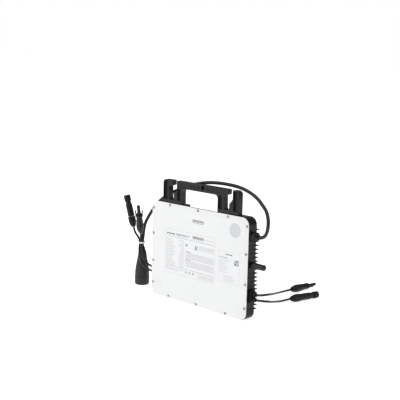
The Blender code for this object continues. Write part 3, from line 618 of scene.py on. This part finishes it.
def make_screws():
    """Button-head screws, each with a six-lobed recess."""
    head = softened([(0, 0.0022), (0.0018, 0.0021), (0.0029, 0.0014), (0.0033, 0.0004), (0.0033, -0.0003),
                     (0.0019, -0.0003), (0.0019, -0.0070), (0, -0.0070)], 0.0003)
    pattern = cut(lathe("screw", head, steps=32), star_recess(0.0014, 0.0012, 0.0022))
    for number, (x, z) in enumerate(screw_places(), start=1):
        screw = linked("screw", pattern.data.copy())
        turn = Matrix.Rotation(0.7 * number, 4, "Z")
        upright = Matrix.Rotation(math.pi / 2, 4, "X")
        screw.data.transform(Matrix.Translation((x, FRONT_Y, z)) @ upright @ turn)
        settle(screw, f"button_screw_{number}", "steel", "steel", f"cover_screw_{number}", angle=40)
    for number in range(1, 5):
        screw = linked("screw", pattern.data.copy())
        scale = Matrix.Diagonal((1.25, 1.25, 1.05, 1))
        place = bolt_place(number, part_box(f"bracket_screw_{number}")[1].z - 0.0022 * 1.05)
        screw.data.transform(Matrix.Translation(place) @ Matrix.Rotation(0.9 * number, 4, "Z") @ scale)
        settle(screw, f"bracket_bolt_{number}", "steel", "steel", f"bracket_screw_{number}", angle=40)
    bpy.data.objects.remove(pattern, do_unlink=True)


def fin_outline(z):
    """A fin's section: drafted sides, a round tip and a small fillet at its root."""
    root = SHELL_BACK - 0.0012
    points = [(root, -0.0019), (SHELL_BACK + 0.0004, -0.0014), (SHELL_BACK + 0.0016, -0.0012)]
    tip = 0.0007
    for step in range(7):
        angle = math.radians(-90 + 30 * step)
        points.append((FIN_BACK - tip + tip * math.cos(angle), tip * math.sin(angle)))
    points += [(SHELL_BACK + 0.0016, 0.0012), (SHELL_BACK + 0.0004, 0.0014), (root, 0.0019)]
    return [(y, z + rise) for y, rise in points]


def flank_bosses():
    return {1: ((AC_Z, 0.016), (ANTENNA_Z, 0.013), (DC_Z, 0.021)), -1: ((DC_Z, 0.021), (VENT_Z, 0.010))}


def make_housing():
    """The black die casting: a tray with ribbed flanks and a finned back."""
    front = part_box("cover_seal")[1].y + GAP
    outline = rounded_rectangle((-SHELL_HALF, SHELL_HALF), (0.0, SHELL_HIGH.z), CORNER_RADIUS - 0.0005, 12)
    shell = plate("housing", [outline], (front, SHELL_BACK), edge=0.0009, steps=3)

    cavity_back = SHELL_BACK - WALL
    cavity = plate("cavity", [rounded_rectangle((-0.1665, 0.1665), (0.0045, 0.2470), 0.012)],
                   (front - 0.002, cavity_back))
    bosses = [rod("boss", 0.0046, 0.05, (x, front - 0.003, z), (0, 1, 0), 16)
              for x, z in screw_places()]
    cavity = cut(cavity, merged("bosses", bosses), solver="MANIFOLD")
    shell = cut(shell, cavity, solver="MANIFOLD")
    holes = [rod("hole", 0.002, 0.0075, (x, front - 0.0013, z), (0, 1, 0), 12)
             for x, z in screw_places()]
    shell = cut(shell, merged("screw_holes", holes), solver="MANIFOLD")

    gaps = []
    for side, pads in flank_bosses().items():
        for low, high in zip(FIN_Z, FIN_Z[1:]):
            middle = (low + high) / 2
            if any(abs(middle - pad) < reach for pad, reach in pads):
                continue
            x = sorted((side * (SHELL_HALF - 0.0016), side * 0.2))
            gaps.append(rounded_box("gap", x, (-0.0090, SHELL_BACK + 0.02), (low + 0.0015, high - 0.0015),
                                    0.0010))
    shell = cut(shell, merged("rib_gaps", gaps), solver="MANIFOLD")
    return shell


def finish_housing(shell):
    reach = SHELL_HALF - 0.0001
    fins = [plate("fin", [fin_outline(z)], (-reach, reach), facing="X") for z in FIN_Z]
    shell = cut(shell, merged("fins", fins), "UNION", "MANIFOLD")

    beyond = FIN_BACK + 0.01
    recess = [rounded_box("recess", (side * 0.099 - 0.0265, side * 0.099 + 0.0265), (-0.0040, beyond),
                          (0.2520, 0.28), 0.0008) for side in (-1, 1)]
    edges = [-TOP_RECESS_HALF] + [0.014 * index for index in range(-3, 4)] + [TOP_RECESS_HALF]
    for low, high in zip(edges, edges[1:]):
        recess.append(rounded_box("recess", (low + 0.0012, high - 0.0012), (-0.0095, beyond),
                                  (0.2523, 0.2600), 0.0006))
    shell = cut(shell, merged("recesses", recess), solver="MANIFOLD")
    top_recess = rounded_box("recess", (-TOP_RECESS_HALF, TOP_RECESS_HALF), (-0.0095, beyond),
                             (0.2538, 0.28), 0.0006)
    shell = cut(shell, top_recess, solver="MANIFOLD")

    ports = []
    for place, radius in (((0.15, AC_Y, AC_Z), 0.0102), ((0.15, 0, ANTENNA_Z), 0.0034),
                          ((-0.18, 0, VENT_Z), 0.0040)):
        ports.append(rod("port", radius, 0.04, place, (1, 0, 0), 32))
    for side in (-1, 1):
        for offset in (-DC_LEAD_OFFSET, DC_LEAD_OFFSET):
            ports.append(rod("port", 0.004, 0.04, (side * 0.15, 0, DC_Z + offset), (side, 0, 0), 24))
    for number in range(1, 5):
        ports.append(rod("port", 0.0025, 0.02, bolt_place(number, 0.2485), (0, 0, 1), 16))
    shell = cut(shell, merged("ports", ports), solver="MANIFOLD")
    settle(shell, "housing_casting", "cast", "cast", "housing", angle=30)


# Carrying bracket

def slot_outline(shift):
    top = BRACKET_HIGH.z
    points = [(0.0973, top + 0.01), (0.0973, 0.3100), (0.0950, 0.3075), (0.0865, 0.3065), (0.0845, 0.3045),
              (0.0857, 0.2720), (0.0875, 0.2695), (0.1012, 0.2695), (0.1033, 0.2715), (0.1033, 0.2860),
              (0.1135, 0.2975), (0.1142, 0.3000), (0.1142, top + 0.01)]
    return rounded_outline([(x - shift, z) for x, z in points], 0.0015)


def make_bracket():
    """The moulded bracket: a grip between two legs, with a stepped cable slot on each side."""
    half, top = BRACKET_HIGH.x, BRACKET_HIGH.z
    front = BRACKET_LOW.y
    back = front + 0.016
    grip_half, grip_top, rim = 0.064, 0.3035, 0.0030
    outline = rounded_rectangle((-half, half), (0.25, top), 0.010)
    bracket = plate("bracket", [outline], (front, back), edge=0.0009, steps=3)
    through = (-0.05, 0.05)
    cuts = [rounded_box("under", (-0.2, 0.2), through, (0.2, 0.2600)),
            plate("grip", [rounded_rectangle((-grip_half, grip_half), (0.24, grip_top), 0.010)], through),
            plate("slot", [slot_outline(0)], through),
            plate("slot", [slot_outline(0.197)], through),
            rod("pin_hole", 0.0024, 0.1, (-0.003, -0.05, 0.3135), (0, 1, 0), 24),
            rounded_box("notch", (0.0070, 0.0160), (-0.05, front + 0.0070), (0.3100, 0.3202), 0.0006)]
    deep, shallow = 0.0050, 0.0012
    pockets = [((-half + rim, -0.1155), (0.2700, top - rim), deep),
               ((-0.0800, -grip_half - rim), (0.2700, 0.3010), deep),
               ((-0.0785, -0.0085), (grip_top + rim, top - rim), shallow),
               ((0.0240, 0.0930), (grip_top + rim + 0.003, top - rim), shallow),
               ((grip_half + rim, 0.0845 - rim), (0.2700, 0.3035), deep),
               ((0.1172, half - rim), (0.2700, top - rim), deep)]
    for x, z, depth in pockets:
        cuts.append(rounded_box("pocket", x, (-0.05, front + depth), z, 0.0016, 3))
        cuts.append(rounded_box("pocket", x, (back - 0.0035, 0.05), z, 0.0016, 3))
    for tool in cuts:
        bracket = cut(bracket, tool)
    for side in (-1, 1):
        x = sorted((side * 0.0755, side * 0.1225))
        shelf = rounded_box("shelf", x, (front + 0.008, 0.0130), (0.2600, 0.2665), 0.0007)
        bracket = cut(bracket, shelf, "UNION")
        block = rounded_box("block", x, (-0.0036, 0.0130), (0.2523, 0.2630), 0.0007)
        bracket = cut(bracket, block, "UNION")
    for number in range(1, 5):
        bracket = cut(bracket, rod("hole", 0.0026, 0.05, bolt_place(number, 0.24), (0, 0, 1), 16))
    settle(bracket, "bracket_moulding", "plastic", "plastic", "carrying_bracket", angle=30)


# Labels and marks on the cover

class Print:
    """Flat printed bars on a label, gathered as one mesh. Nothing printed spells anything."""

    def __init__(self, front, seed):
        self.front = front
        self.random = random.Random(seed)
        self.bm = bmesh.new()

    def bar(self, x, z):
        if x[1] - x[0] < 0.0002:
            return
        made = bmesh.ops.create_cube(self.bm, size=1.0)["verts"]
        bmesh.ops.scale(self.bm, vec=Vector((x[1] - x[0], 0.00004, z[1] - z[0])), verts=made)
        centre = Vector(((x[0] + x[1]) / 2, self.front - 0.00002, (z[0] + z[1]) / 2))
        bmesh.ops.translate(self.bm, vec=centre, verts=made)

    def words(self, x, z, height, shortest=0.0012, longest=0.0052):
        """A row of short bars, as far as a limit."""
        here = x[0]
        while here < x[1] - shortest:
            end = min(x[1], here + self.random.uniform(shortest, longest))
            self.bar((here, end), (z, z + height))
            here = end + height * 0.7

    def code(self, x, z):
        """Upright bars of uneven width."""
        here = x[0]
        while here < x[1]:
            width = self.random.choice((0.0003, 0.0005, 0.0008))
            self.bar((here, min(x[1], here + width)), z)
            here += width + self.random.choice((0.0003, 0.0005))

    def mosaic(self, x, z, count):
        """A square field of small cells, about half of them filled."""
        side = (x[1] - x[0]) / count
        for column in range(count):
            for row in range(count):
                if self.random.random() < 0.62:
                    left, low = x[0] + column * side, z[0] + row * side
                    self.bar((left, left + side * 0.96), (low, low + side * 0.96))

    def frame(self, x, z, width):
        self.bar(x, (z[1] - width, z[1]))
        self.bar(x, (z[0], z[0] + width))
        self.bar((x[0], x[0] + width), (z[0] + width, z[1] - width))
        self.bar((x[1] - width, x[1]), (z[0] + width, z[1] - width))

    def done(self, name, material):
        return settle(from_bmesh(name, self.bm), name, material, "plastic")


LABEL_THICKNESS = 0.00012
LABEL_FRONT = FRONT_Y - LABEL_THICKNESS


def make_label(name, x, z, radius, material, slot):
    film = plate(name, [rounded_rectangle(x, z, radius)], (LABEL_FRONT, FRONT_Y), edge=0.00003, steps=1)
    settle(film, name, material, slot)


def make_rating_label():
    x, z = (-0.1200, 0.0640), (0.0715, 0.1930)
    make_label("rating_label", x, z, 0.0030, "label", "cover")
    dark = Print(LABEL_FRONT, 11)
    pale = Print(LABEL_FRONT, 12)
    pale.frame((x[0] + 0.0008, x[1] - 0.0008), (z[0] + 0.0008, z[1] - 0.0008), 0.0005)
    dark.words((-0.1130, -0.0830), 0.1778, 0.0034, 0.003, 0.012)
    dark.words((-0.0780, -0.0280), 0.1810, 0.0018)
    dark.words((-0.0780, -0.0380), 0.1776, 0.0018)
    dark.code((-0.0170, 0.0225), (0.1792, 0.1855))
    pale.words((-0.0150, 0.0200), 0.1766, 0.0013)
    pale.words((0.0270, 0.0600), 0.1806, 0.0013)
    for height in (0.1722, 0.0912):
        dark.bar((-0.1170, 0.0610), (height, height + 0.0006))
    for row in range(16):
        low = 0.1647 - 0.0047 * row
        pale.words((-0.1160, -0.1160 + pale.random.uniform(0.022, 0.042)), low, 0.0017)
        pale.words((-0.0590 - pale.random.uniform(0, 0.010), -0.0480), low, 0.0017)
    dark.mosaic((-0.0420, -0.0350), (0.1545, 0.1615), 6)
    dark.mosaic((-0.0080, 0.0030), (0.1500, 0.1610), 8)
    for low in (0.1605, 0.1573, 0.1541, 0.1509):
        pale.words((0.0080, 0.0600), low, 0.0015)
    for block in (0.1392, 0.1180):
        dark.words((-0.0420, -0.0240), block, 0.0017)
        for row in range(1, 7):
            pale.words((-0.0420, 0.0600), block - 0.0029 * row, 0.0014)
    pale.words((-0.1160, -0.0500), 0.0850, 0.0017)
    pale.words((-0.1160, -0.0700), 0.0812, 0.0017)
    for left in (-0.0420, -0.0290, -0.0160):
        dark.mosaic((left, left + 0.0055), (0.0818, 0.0873), 5)
    for low in (0.0842, 0.0806, 0.0770):
        pale.words((0.0040, 0.0600), low, 0.0016)
    dark.done("rating_print", "ink")
    pale.done("rating_small_print", "pale_ink")


def make_serial_label():
    x, z = (0.0745, 0.1485), (0.0850, 0.1667)
    make_label("serial_label", x, z, 0.0015, "label", "cover")
    dark = Print(LABEL_FRONT, 21)
    pale = Print(LABEL_FRONT, 22)
    pale.frame((x[0] + 0.0006, x[1] - 0.0006), (z[0] + 0.0006, z[1] - 0.0006), 0.0004)
    dark.words((0.1000, 0.1220), 0.1575, 0.0026, 0.003, 0.009)
    dark.words((0.0790, 0.1090), 0.1490, 0.0013)
    for row in range(7):
        low = 0.1430 - 0.0052 * row
        pale.words((0.0790, 0.0790 + pale.random.uniform(0.022, 0.038)), low, 0.0013)
    dark.mosaic((0.1295, 0.1435), (0.1350, 0.1490), 12)
    for row in range(4):
        inset = 0.004 * (row % 2)
        pale.words((0.0930 + inset, 0.1300 - inset), 0.1030 - 0.0042 * row, 0.0012)
    dark.done("serial_print", "ink")
    pale.done("serial_small_print", "pale_ink")


def make_marks():
    """The coded strip, the round grey badge and the small round seal."""
    strip = Print(FRONT_Y, 31)
    strip.code((-0.0190, 0.0220), (0.2238, 0.2292))
    strip.words((-0.0180, 0.0200), 0.2205, 0.0012)
    strip.done("coded_strip", "ink")
    badge_place = (0.1285, FRONT_Y, 0.2237)
    seal_place = (-0.1432, FRONT_Y, 0.0302)
    badge = lathe("badge", softened([(0, 0.00035), (0.0180, 0.00035), (0.0182, 0), (0, 0)], 0.0002),
                  badge_place, (0, -1, 0), 64)
    settle(badge, "round_badge", "badge", "plastic")
    seal = lathe("seal", softened([(0, 0.0003), (0.0100, 0.0003), (0.0102, 0), (0, 0)], 0.0002),
                 seal_place, (0, -1, 0), 48)
    settle(seal, "round_seal", "label", "cover")
    rim = lathe("rim", [(0.0090, 0.00034), (0.0095, 0.00034), (0.0095, 0.0003), (0.0090, 0.0003),
                        (0.0090, 0.00034)], seal_place, (0, -1, 0), 48)
    settle(rim, "seal_rim", "pale_ink", "plastic")
    mark = Print(FRONT_Y - 0.0003, 33)
    mark.words((-0.1460, -0.1400), 0.0300, 0.0010, 0.001, 0.002)
    mark.words((-0.1450, -0.1415), 0.0280, 0.0008, 0.001, 0.002)
    mark.done("seal_print", "pale_ink")


# Glands, antenna and vent

def flutes(count, depth, low, high):
    """A shape for lathe: grip flutes between two distances."""
    def shape(radius, angle, along):
        if not low < along < high:
            return radius
        wave = abs(math.cos(count * angle / 2)) ** 6
        return radius - depth * wave
    return shape


def hexagon(across, low, high):
    """A shape for lathe: six flats between two distances."""
    def shape(radius, angle, along):
        if not low <= along <= high:
            return radius
        turn = (angle + math.pi / 6) % (math.pi / 3) - math.pi / 6
        return min(radius, across / math.cos(turn))
    return shape


def make_mains_gland():
    flange = SHELL_HALF + GAP
    place = (flange, AC_Y, AC_Z)
    body = [(0.0066, 0.0085), (0.0096, 0.0085), (0.0096, 0.0050), (0.0121, 0.0047), (0.0125, 0.0043),
            (0.0125, 0.0004), (0.0121, 0.0), (0.0099, 0.0), (0.0099, -0.0115), (0.0066, -0.0115),
            (0.0066, 0.0085)]
    body = lathe("body", body, place, (1, 0, 0), 72, hexagon(0.0114, 0.0, 0.0048))
    settle(body, "gland_hex_body", "plastic", "plastic", "gland_body", angle=30)
    nut = [(0.0052, 0.0195), (0.0068, 0.0195), (0.0080, 0.0184), (0.0092, 0.0165), (0.0106, 0.0148),
           (0.0116, 0.0132), (0.0120, 0.0118), (0.0120, 0.0058), (0.0117, 0.0053), (0.0099, 0.0053),
           (0.0099, 0.0090), (0.0052, 0.0120), (0.0052, 0.0195)]
    nut = lathe("nut", nut, place, (1, 0, 0), 144, flutes(12, 0.0009, 0.0054, 0.0150))
    settle(nut, "gland_grip_nut", "plastic", "plastic", "gland_dome_nut", angle=40)


def make_solar_gland(side, label):
    """The oblong double gland with its two lead collars."""
    low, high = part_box(f"solar_gland_frame_{label}")
    near = min(abs(low.x), abs(high.x))
    far = near + 0.0070
    limits = sorted((side * near, side * far))
    outline = rounded_rectangle((-0.0095, 0.0095), (DC_Z - 0.0165, DC_Z + 0.0165), 0.006, 6)
    bores = [circle(0, DC_Z + offset, 0.0036) for offset in (-DC_LEAD_OFFSET, DC_LEAD_OFFSET)]
    body = plate("frame", [outline] + bores, limits, facing="X", edge=0.0006, steps=2)
    step = plate("step", [rounded_rectangle((-0.02, 0.02), (DC_Z - 0.03, DC_Z + 0.03), 0.004),
                          rounded_rectangle((-0.0072, 0.0072), (DC_Z - 0.0142, DC_Z + 0.0142), 0.005)],
                 sorted((side * (far - 0.0016), side * (far + 0.004))), facing="X")
    body = cut(body, step)
    for offset in (-DC_LEAD_OFFSET, DC_LEAD_OFFSET):
        collar = [(0.0036, 0.0085), (0.0048, 0.0085), (0.0054, 0.0078), (0.0054, 0.0), (0.0036, 0.0),
                  (0.0036, 0.0085)]
        start = (side * (near + 0.0065), 0, DC_Z + offset)
        body = cut(body, lathe("collar", collar, start, (side, 0, 0), 32), "UNION")
    settle(body, f"solar_gland_{label}", "plastic", "plastic", f"solar_gland_frame_{label}", angle=30)


def make_antenna():
    start = (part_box("antenna")[0].x, 0, ANTENNA_Z)
    stub = [(0, 0.0415), (0.0022, 0.04135), (0.0042, 0.0407), (0.0058, 0.0397), (0.0069, 0.0383),
            (0.0074, 0.0366), (0.0075, 0.0347), (0.0077, 0.0345), (0.0077, 0.0331), (0.0074, 0.0328),
            (0.0074, 0.0160), (0.0076, 0.0140), (0.0079, 0.0125), (0.0082, 0.0118),
            (0.0084, 0.0112), (0.0084, 0.0006),
            (0.0080, 0.0), (0.0032, 0.0), (0.0032, 0.0080), (0, 0.0080)]
    stub = lathe("stub", stub, start, (1, 0, 0), 96, flutes(24, 0.0004, 0.0010, 0.0110))
    settle(stub, "antenna_stub", "rubber", "rubber", "antenna", body="antenna", angle=40)


def make_vent():
    start = (-SHELL_HALF - GAP, 0, VENT_Z)
    vent = softened([(0, 0.0025), (0.0050, 0.0025), (0.0062, 0.0015), (0.0062, 0.0), (0.0037, 0.0),
                     (0.0037, -0.0060), (0, -0.0060)], 0.0003)
    vent = lathe("vent", vent, start, (-1, 0, 0), 96, flutes(16, 0.0004, -0.0001, 0.0016))
    settle(vent, "vent_plug", "plastic", "plastic", "pressure_vent", angle=40)


# Solar connectors

def along(start, axis, distance):
    return tuple(Vector(start) + Vector(axis).normalized() * distance)


def enlarged(piece, start):
    """A connector's piece at its real size, which its profile gives at a smaller scale."""
    place = Matrix.Translation(start)
    piece.data.transform(place @ Matrix.Scale(CONNECTOR_SCALE, 4) @ place.inverted())
    return piece


def connector_nut(kind, label, start, axis, length):
    """The sealing nut: a cone with grip flutes that runs down to the lead."""
    profile = softened([(0, length), (0.0082, length), (0.0093, length - 0.0008),
                        (0.0095, length - 0.0020), (0.0095, length - 0.0145), (0.0075, 0.0060),
                        (0.0050, 0.0004), (0.0046, 0.0), (0, 0.0)], 0.0006)
    grip = flutes(12, 0.0007, 0.0045, length - 0.0015)
    nut = lathe("nut", profile, along(start, axis, 2 * GAP), axis, 96, grip)
    return settle(enlarged(nut, start), f"{kind}_grip_nut_{label}", "plastic", "plastic",
                  f"{kind}_nut_{label}", angle=40)


def make_pin_connector(label, start, axis):
    nut = connector_nut("pin", label, start, axis, 0.0300)
    body = softened([(0.0026, 0.0900), (0.0036, 0.0900), (0.0041, 0.0885), (0.0042, 0.0860),
                     (0.0042, 0.0645), (0.0062, 0.0625), (0.0078, 0.0600), (0.0078, 0.0420),
                     (0.0085, 0.0410), (0.0085, 0.0310), (0, 0.0310), (0, 0.0600),
                     (0.0026, 0.0600), (0.0026, 0.0900)], 0.0004)
    body = lathe("body", body, start, axis, 48, flutes(8, 0.0007, 0.0425, 0.0590))
    for side in (-1, 1):
        outline = [(side * x, z) for x, z in (
            (0.0066, 0.0550), (0.0090, 0.0550), (0.0092, 0.0690), (0.0104, 0.0700),
            (0.0100, 0.0722), (0.0086, 0.0745), (0.0072, 0.0745), (0.0070, 0.0600))]
        arm = plate("arm", [rounded_outline(outline, 0.0005, 3)], (-0.0028, 0.0028), edge=0.0003, steps=1)
        body = cut(body, placed(arm, start, axis), "UNION")
    settle(enlarged(body, start), f"pin_connector_{label}", "plastic", "plastic", f"pin_body_{label}")
    contact = [(0, 0.0865), (0.0009, 0.0862), (0.0014, 0.0850), (0.0014, 0.0595), (0, 0.0595)]
    contact = lathe("contact", contact, start, axis, 24)
    settle(enlarged(contact, start), f"contact_pin_{label}", "brass", "brass")
    seal = lathe("seal", [(0.0041, 0.0670), (0.0050, 0.0666), (0.0053, 0.0658), (0.0050, 0.0650),
                          (0.0041, 0.0646), (0.0041, 0.0670)], start, axis, 48)
    settle(enlarged(seal, start), f"connector_seal_{label}", "rubber", "rubber")
    return [nut, body, contact, seal]


def make_socket_connector(label, start, axis):
    nut = connector_nut("socket", label, start, axis, 0.0280)
    body = softened([(0.0050, 0.0850), (0.0076, 0.0850), (0.0085, 0.0842), (0.0086, 0.0830),
                     (0.0086, 0.0705), (0.0070, 0.0690), (0.0070, 0.0620), (0.0084, 0.0600),
                     (0.0084, 0.0290), (0, 0.0290), (0, 0.0500), (0.0050, 0.0500), (0.0050, 0.0850)], 0.0004)
    body = lathe("body", body, start, axis, 64, flutes(8, 0.0007, 0.0320, 0.0520))
    for side in (-1, 1):
        x = sorted((side * 0.0056, side * 0.012))
        window = rounded_box("window", x, (-0.0033, 0.0033), (0.0560, 0.0720), 0.0006)
        body = cut(body, placed(window, start, axis))
    settle(enlarged(body, start), f"socket_connector_{label}", "plastic", "plastic", f"socket_body_{label}")
    contact = softened([(0.0015, 0.0735), (0.0022, 0.0735), (0.0024, 0.0730), (0.0024, 0.0495),
                        (0.0015, 0.0495), (0.0015, 0.0735)], 0.0002)
    contact = lathe("contact", contact, start, axis, 32)
    settle(enlarged(contact, start), f"contact_sleeve_{label}", "brass", "brass")
    return [nut, body, contact]


# Mains plug, tie and cables

def plug_grip(radius, angle, along_axis):
    """Finger ribs across two opposite sides of the plug."""
    lowest, highest, pitch, depth = 0.0400, 0.0770, 0.0037, 0.0014
    if not lowest < along_axis < highest:
        return radius
    side = max(0.0, abs(math.sin(angle - 0.75 * math.pi)) - 0.25) / 0.75
    return radius - depth * side * (0.5 - 0.5 * math.cos(2 * math.pi * (along_axis - lowest) / pitch))


def make_plug():
    place = (PLUG_X, PLUG_Y, 0)
    boot = [(0, 0.1122)]
    for index in range(6):
        top = 0.1120 - 0.0036 * index
        radius = 0.0056 + 0.00118 * index
        boot += [(radius, top), (radius + 0.0007, top - 0.0022), (radius - 0.0006, top - 0.0025),
                 (radius - 0.0004, top - 0.0033)]
    boot += [(0.0120, 0.0906), (0.0120, 0.0900), (0, 0.0900)]
    boot = lathe("boot", softened(boot, 0.0003), place, steps=48)
    settle(boot, "plug_strain_relief", "rubber", "rubber", "plug_boot", angle=40)

    top, foot, rings = 0.0888, 0.0300, 60
    profile = [(0, 0.0897), (0.0112, 0.0897), (0.0121, top)]
    for index in range(1, rings + 1):
        z = top - (top - foot) * index / rings
        share = (top - z) / (top - foot)
        profile.append((0.0121 + 0.0083 * math.sin(share * math.pi / 2) ** 1.1, z))
    profile += [(0.0200, 0.0283), (0.0194, 0.0278), (0, 0.0278)]
    body = lathe("body", profile, place, steps=96, shape=plug_grip)
    settle(body, "plug_moulding", "rubber", "rubber", "plug_body", angle=40)

    cap = [(0, 0.0231), (0.0170, 0.0231), (0.0170, 0.0275), (0.0205, 0.0275), (0.0208, 0.0271),
           (0.0208, 0.0252), (0.0203, 0.0247), (0.0203, 0.0239), (0.0208, 0.0234), (0.0208, 0.0060),
           (0.0205, 0.0040), (0.0198, 0.0022), (0.0186, 0.0010), (0.0165, 0.0002), (0, 0.0002)]
    cap = lathe("cap", cap, place, steps=72)
    for side in (-1, 1):
        hole_place = (PLUG_X + side * 0.0095, PLUG_Y, 0.0040)
        cap = cut(cap, rod("pin_hole", 0.0028, 0.03, hole_place, (0, 0, 1), 20))
    for angle in (-1.95, -0.35, 1.2, 2.8):
        notch = rounded_box("notch", (0.0195, 0.03), (-0.0016, 0.0016), (0.0185, 0.035), 0.0005)
        notch.data.transform(Matrix.Translation(place) @ Matrix.Rotation(angle, 4, "Z"))
        cap = cut(cap, notch)
    eyelet = [(0, 0.01), (0.0014, 0.01), (0.0014, -0.01), (0, -0.01)]
    eyelet = lathe("eyelet", eyelet, (0, 0, 0), (1, 0, 0), 20)
    eyelet.data.transform(Matrix.Translation((PLUG_X, PLUG_Y, 0.0105)) @ Matrix.Rotation(-0.80, 4, "Z")
                          @ Matrix.Translation((0.0240, 0, 0)))
    cap = cut(cap, eyelet)
    settle(cap, "plug_cover", "rubber", "rubber", "plug_cap", angle=35)
    return [boot, body, cap, NODES["plug_insert"]]


def make_tie():
    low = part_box("cable_tie")[0]
    x, y, z = centre = (-0.2554, 0.0185, 0.1205)
    inner, outer, width = 0.0092, 0.0101, 0.0046
    strap = softened([(inner, width), (outer, width), (outer, 0), (inner, 0), (inner, width)], 0.0003, 2)
    strap = lathe("strap", strap, centre, steps=96)
    head = rounded_box("head", (low.x, x - 0.0095), (y - 0.0024, y + 0.0024), (z - 0.0006, z + 0.0052),
                       0.0006)
    slit = rounded_box("slit", (low.x - 0.001, x - 0.0110), (y - 0.0012, y + 0.0012), (z - 0.002, z + 0.006))
    head = cut(head, slit)
    tail = rounded_box("tail", (low.x + 0.0003, low.x + 0.0012), (y - 0.0018, y + 0.0018),
                       (z + 0.0052, z + 0.0120), 0.0003, 1)
    return settle(merged("tie", [strap, head, tail]), "nylon_tie", "white_plastic", "white_plastic",
                  "cable_tie", angle=40)


def make_cables():
    """The cords come with the pieces on them: the mains plug and the four solar connectors."""
    cable, length = make_cable("mains_lead", AC_ROUTE, AC_CABLE_RADIUS, "mains_cable")
    make_plug() + [make_tie()]
    for label, kinds in LEADS.items():
        for kind, (route, axis) in kinds.items():
            lead, length = make_cable(f"{kind}_lead_{label}", route, DC_LEAD_RADIUS,
                                      f"solar_{kind}_lead_{label}")
            make = make_pin_connector if kind == "pin" else make_socket_connector
            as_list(make(label, route[-1], axis))


# CAD nodes that keep their shape and take a finer material
KEPT = {
    "cover_seal": "rubber", "gland_seal": "rubber", "gland_lock_nut": "plastic",
    "solar_gland_seal_left": "rubber", "solar_gland_seal_right": "rubber",
    "plug_insert": "steel", "antenna_socket": "brass", "main_board": "board",
    "transformer_core": "ferrite", "choke_core": "ferrite", "transformer_winding": "copper",
    "choke_winding": "copper", "input_capacitor_1": "sleeve", "input_capacitor_2": "sleeve",
    "radio_module": "steel", "mains_terminal_block": "white_plastic",
}

make_camera()
make_studio()
MATERIALS = make_materials()
make_cables()
make_cover()
make_screws()
finish_housing(make_housing())
make_bracket()
make_rating_label()
make_serial_label()
make_marks()
make_mains_gland()
make_solar_gland(1, "right")
make_solar_gland(-1, "left")
make_antenna()
make_vent()
for node, finish in KEPT.items():
    NODES[node].data.materials.clear()
    NODES[node].data.materials.append(MATERIALS[finish])
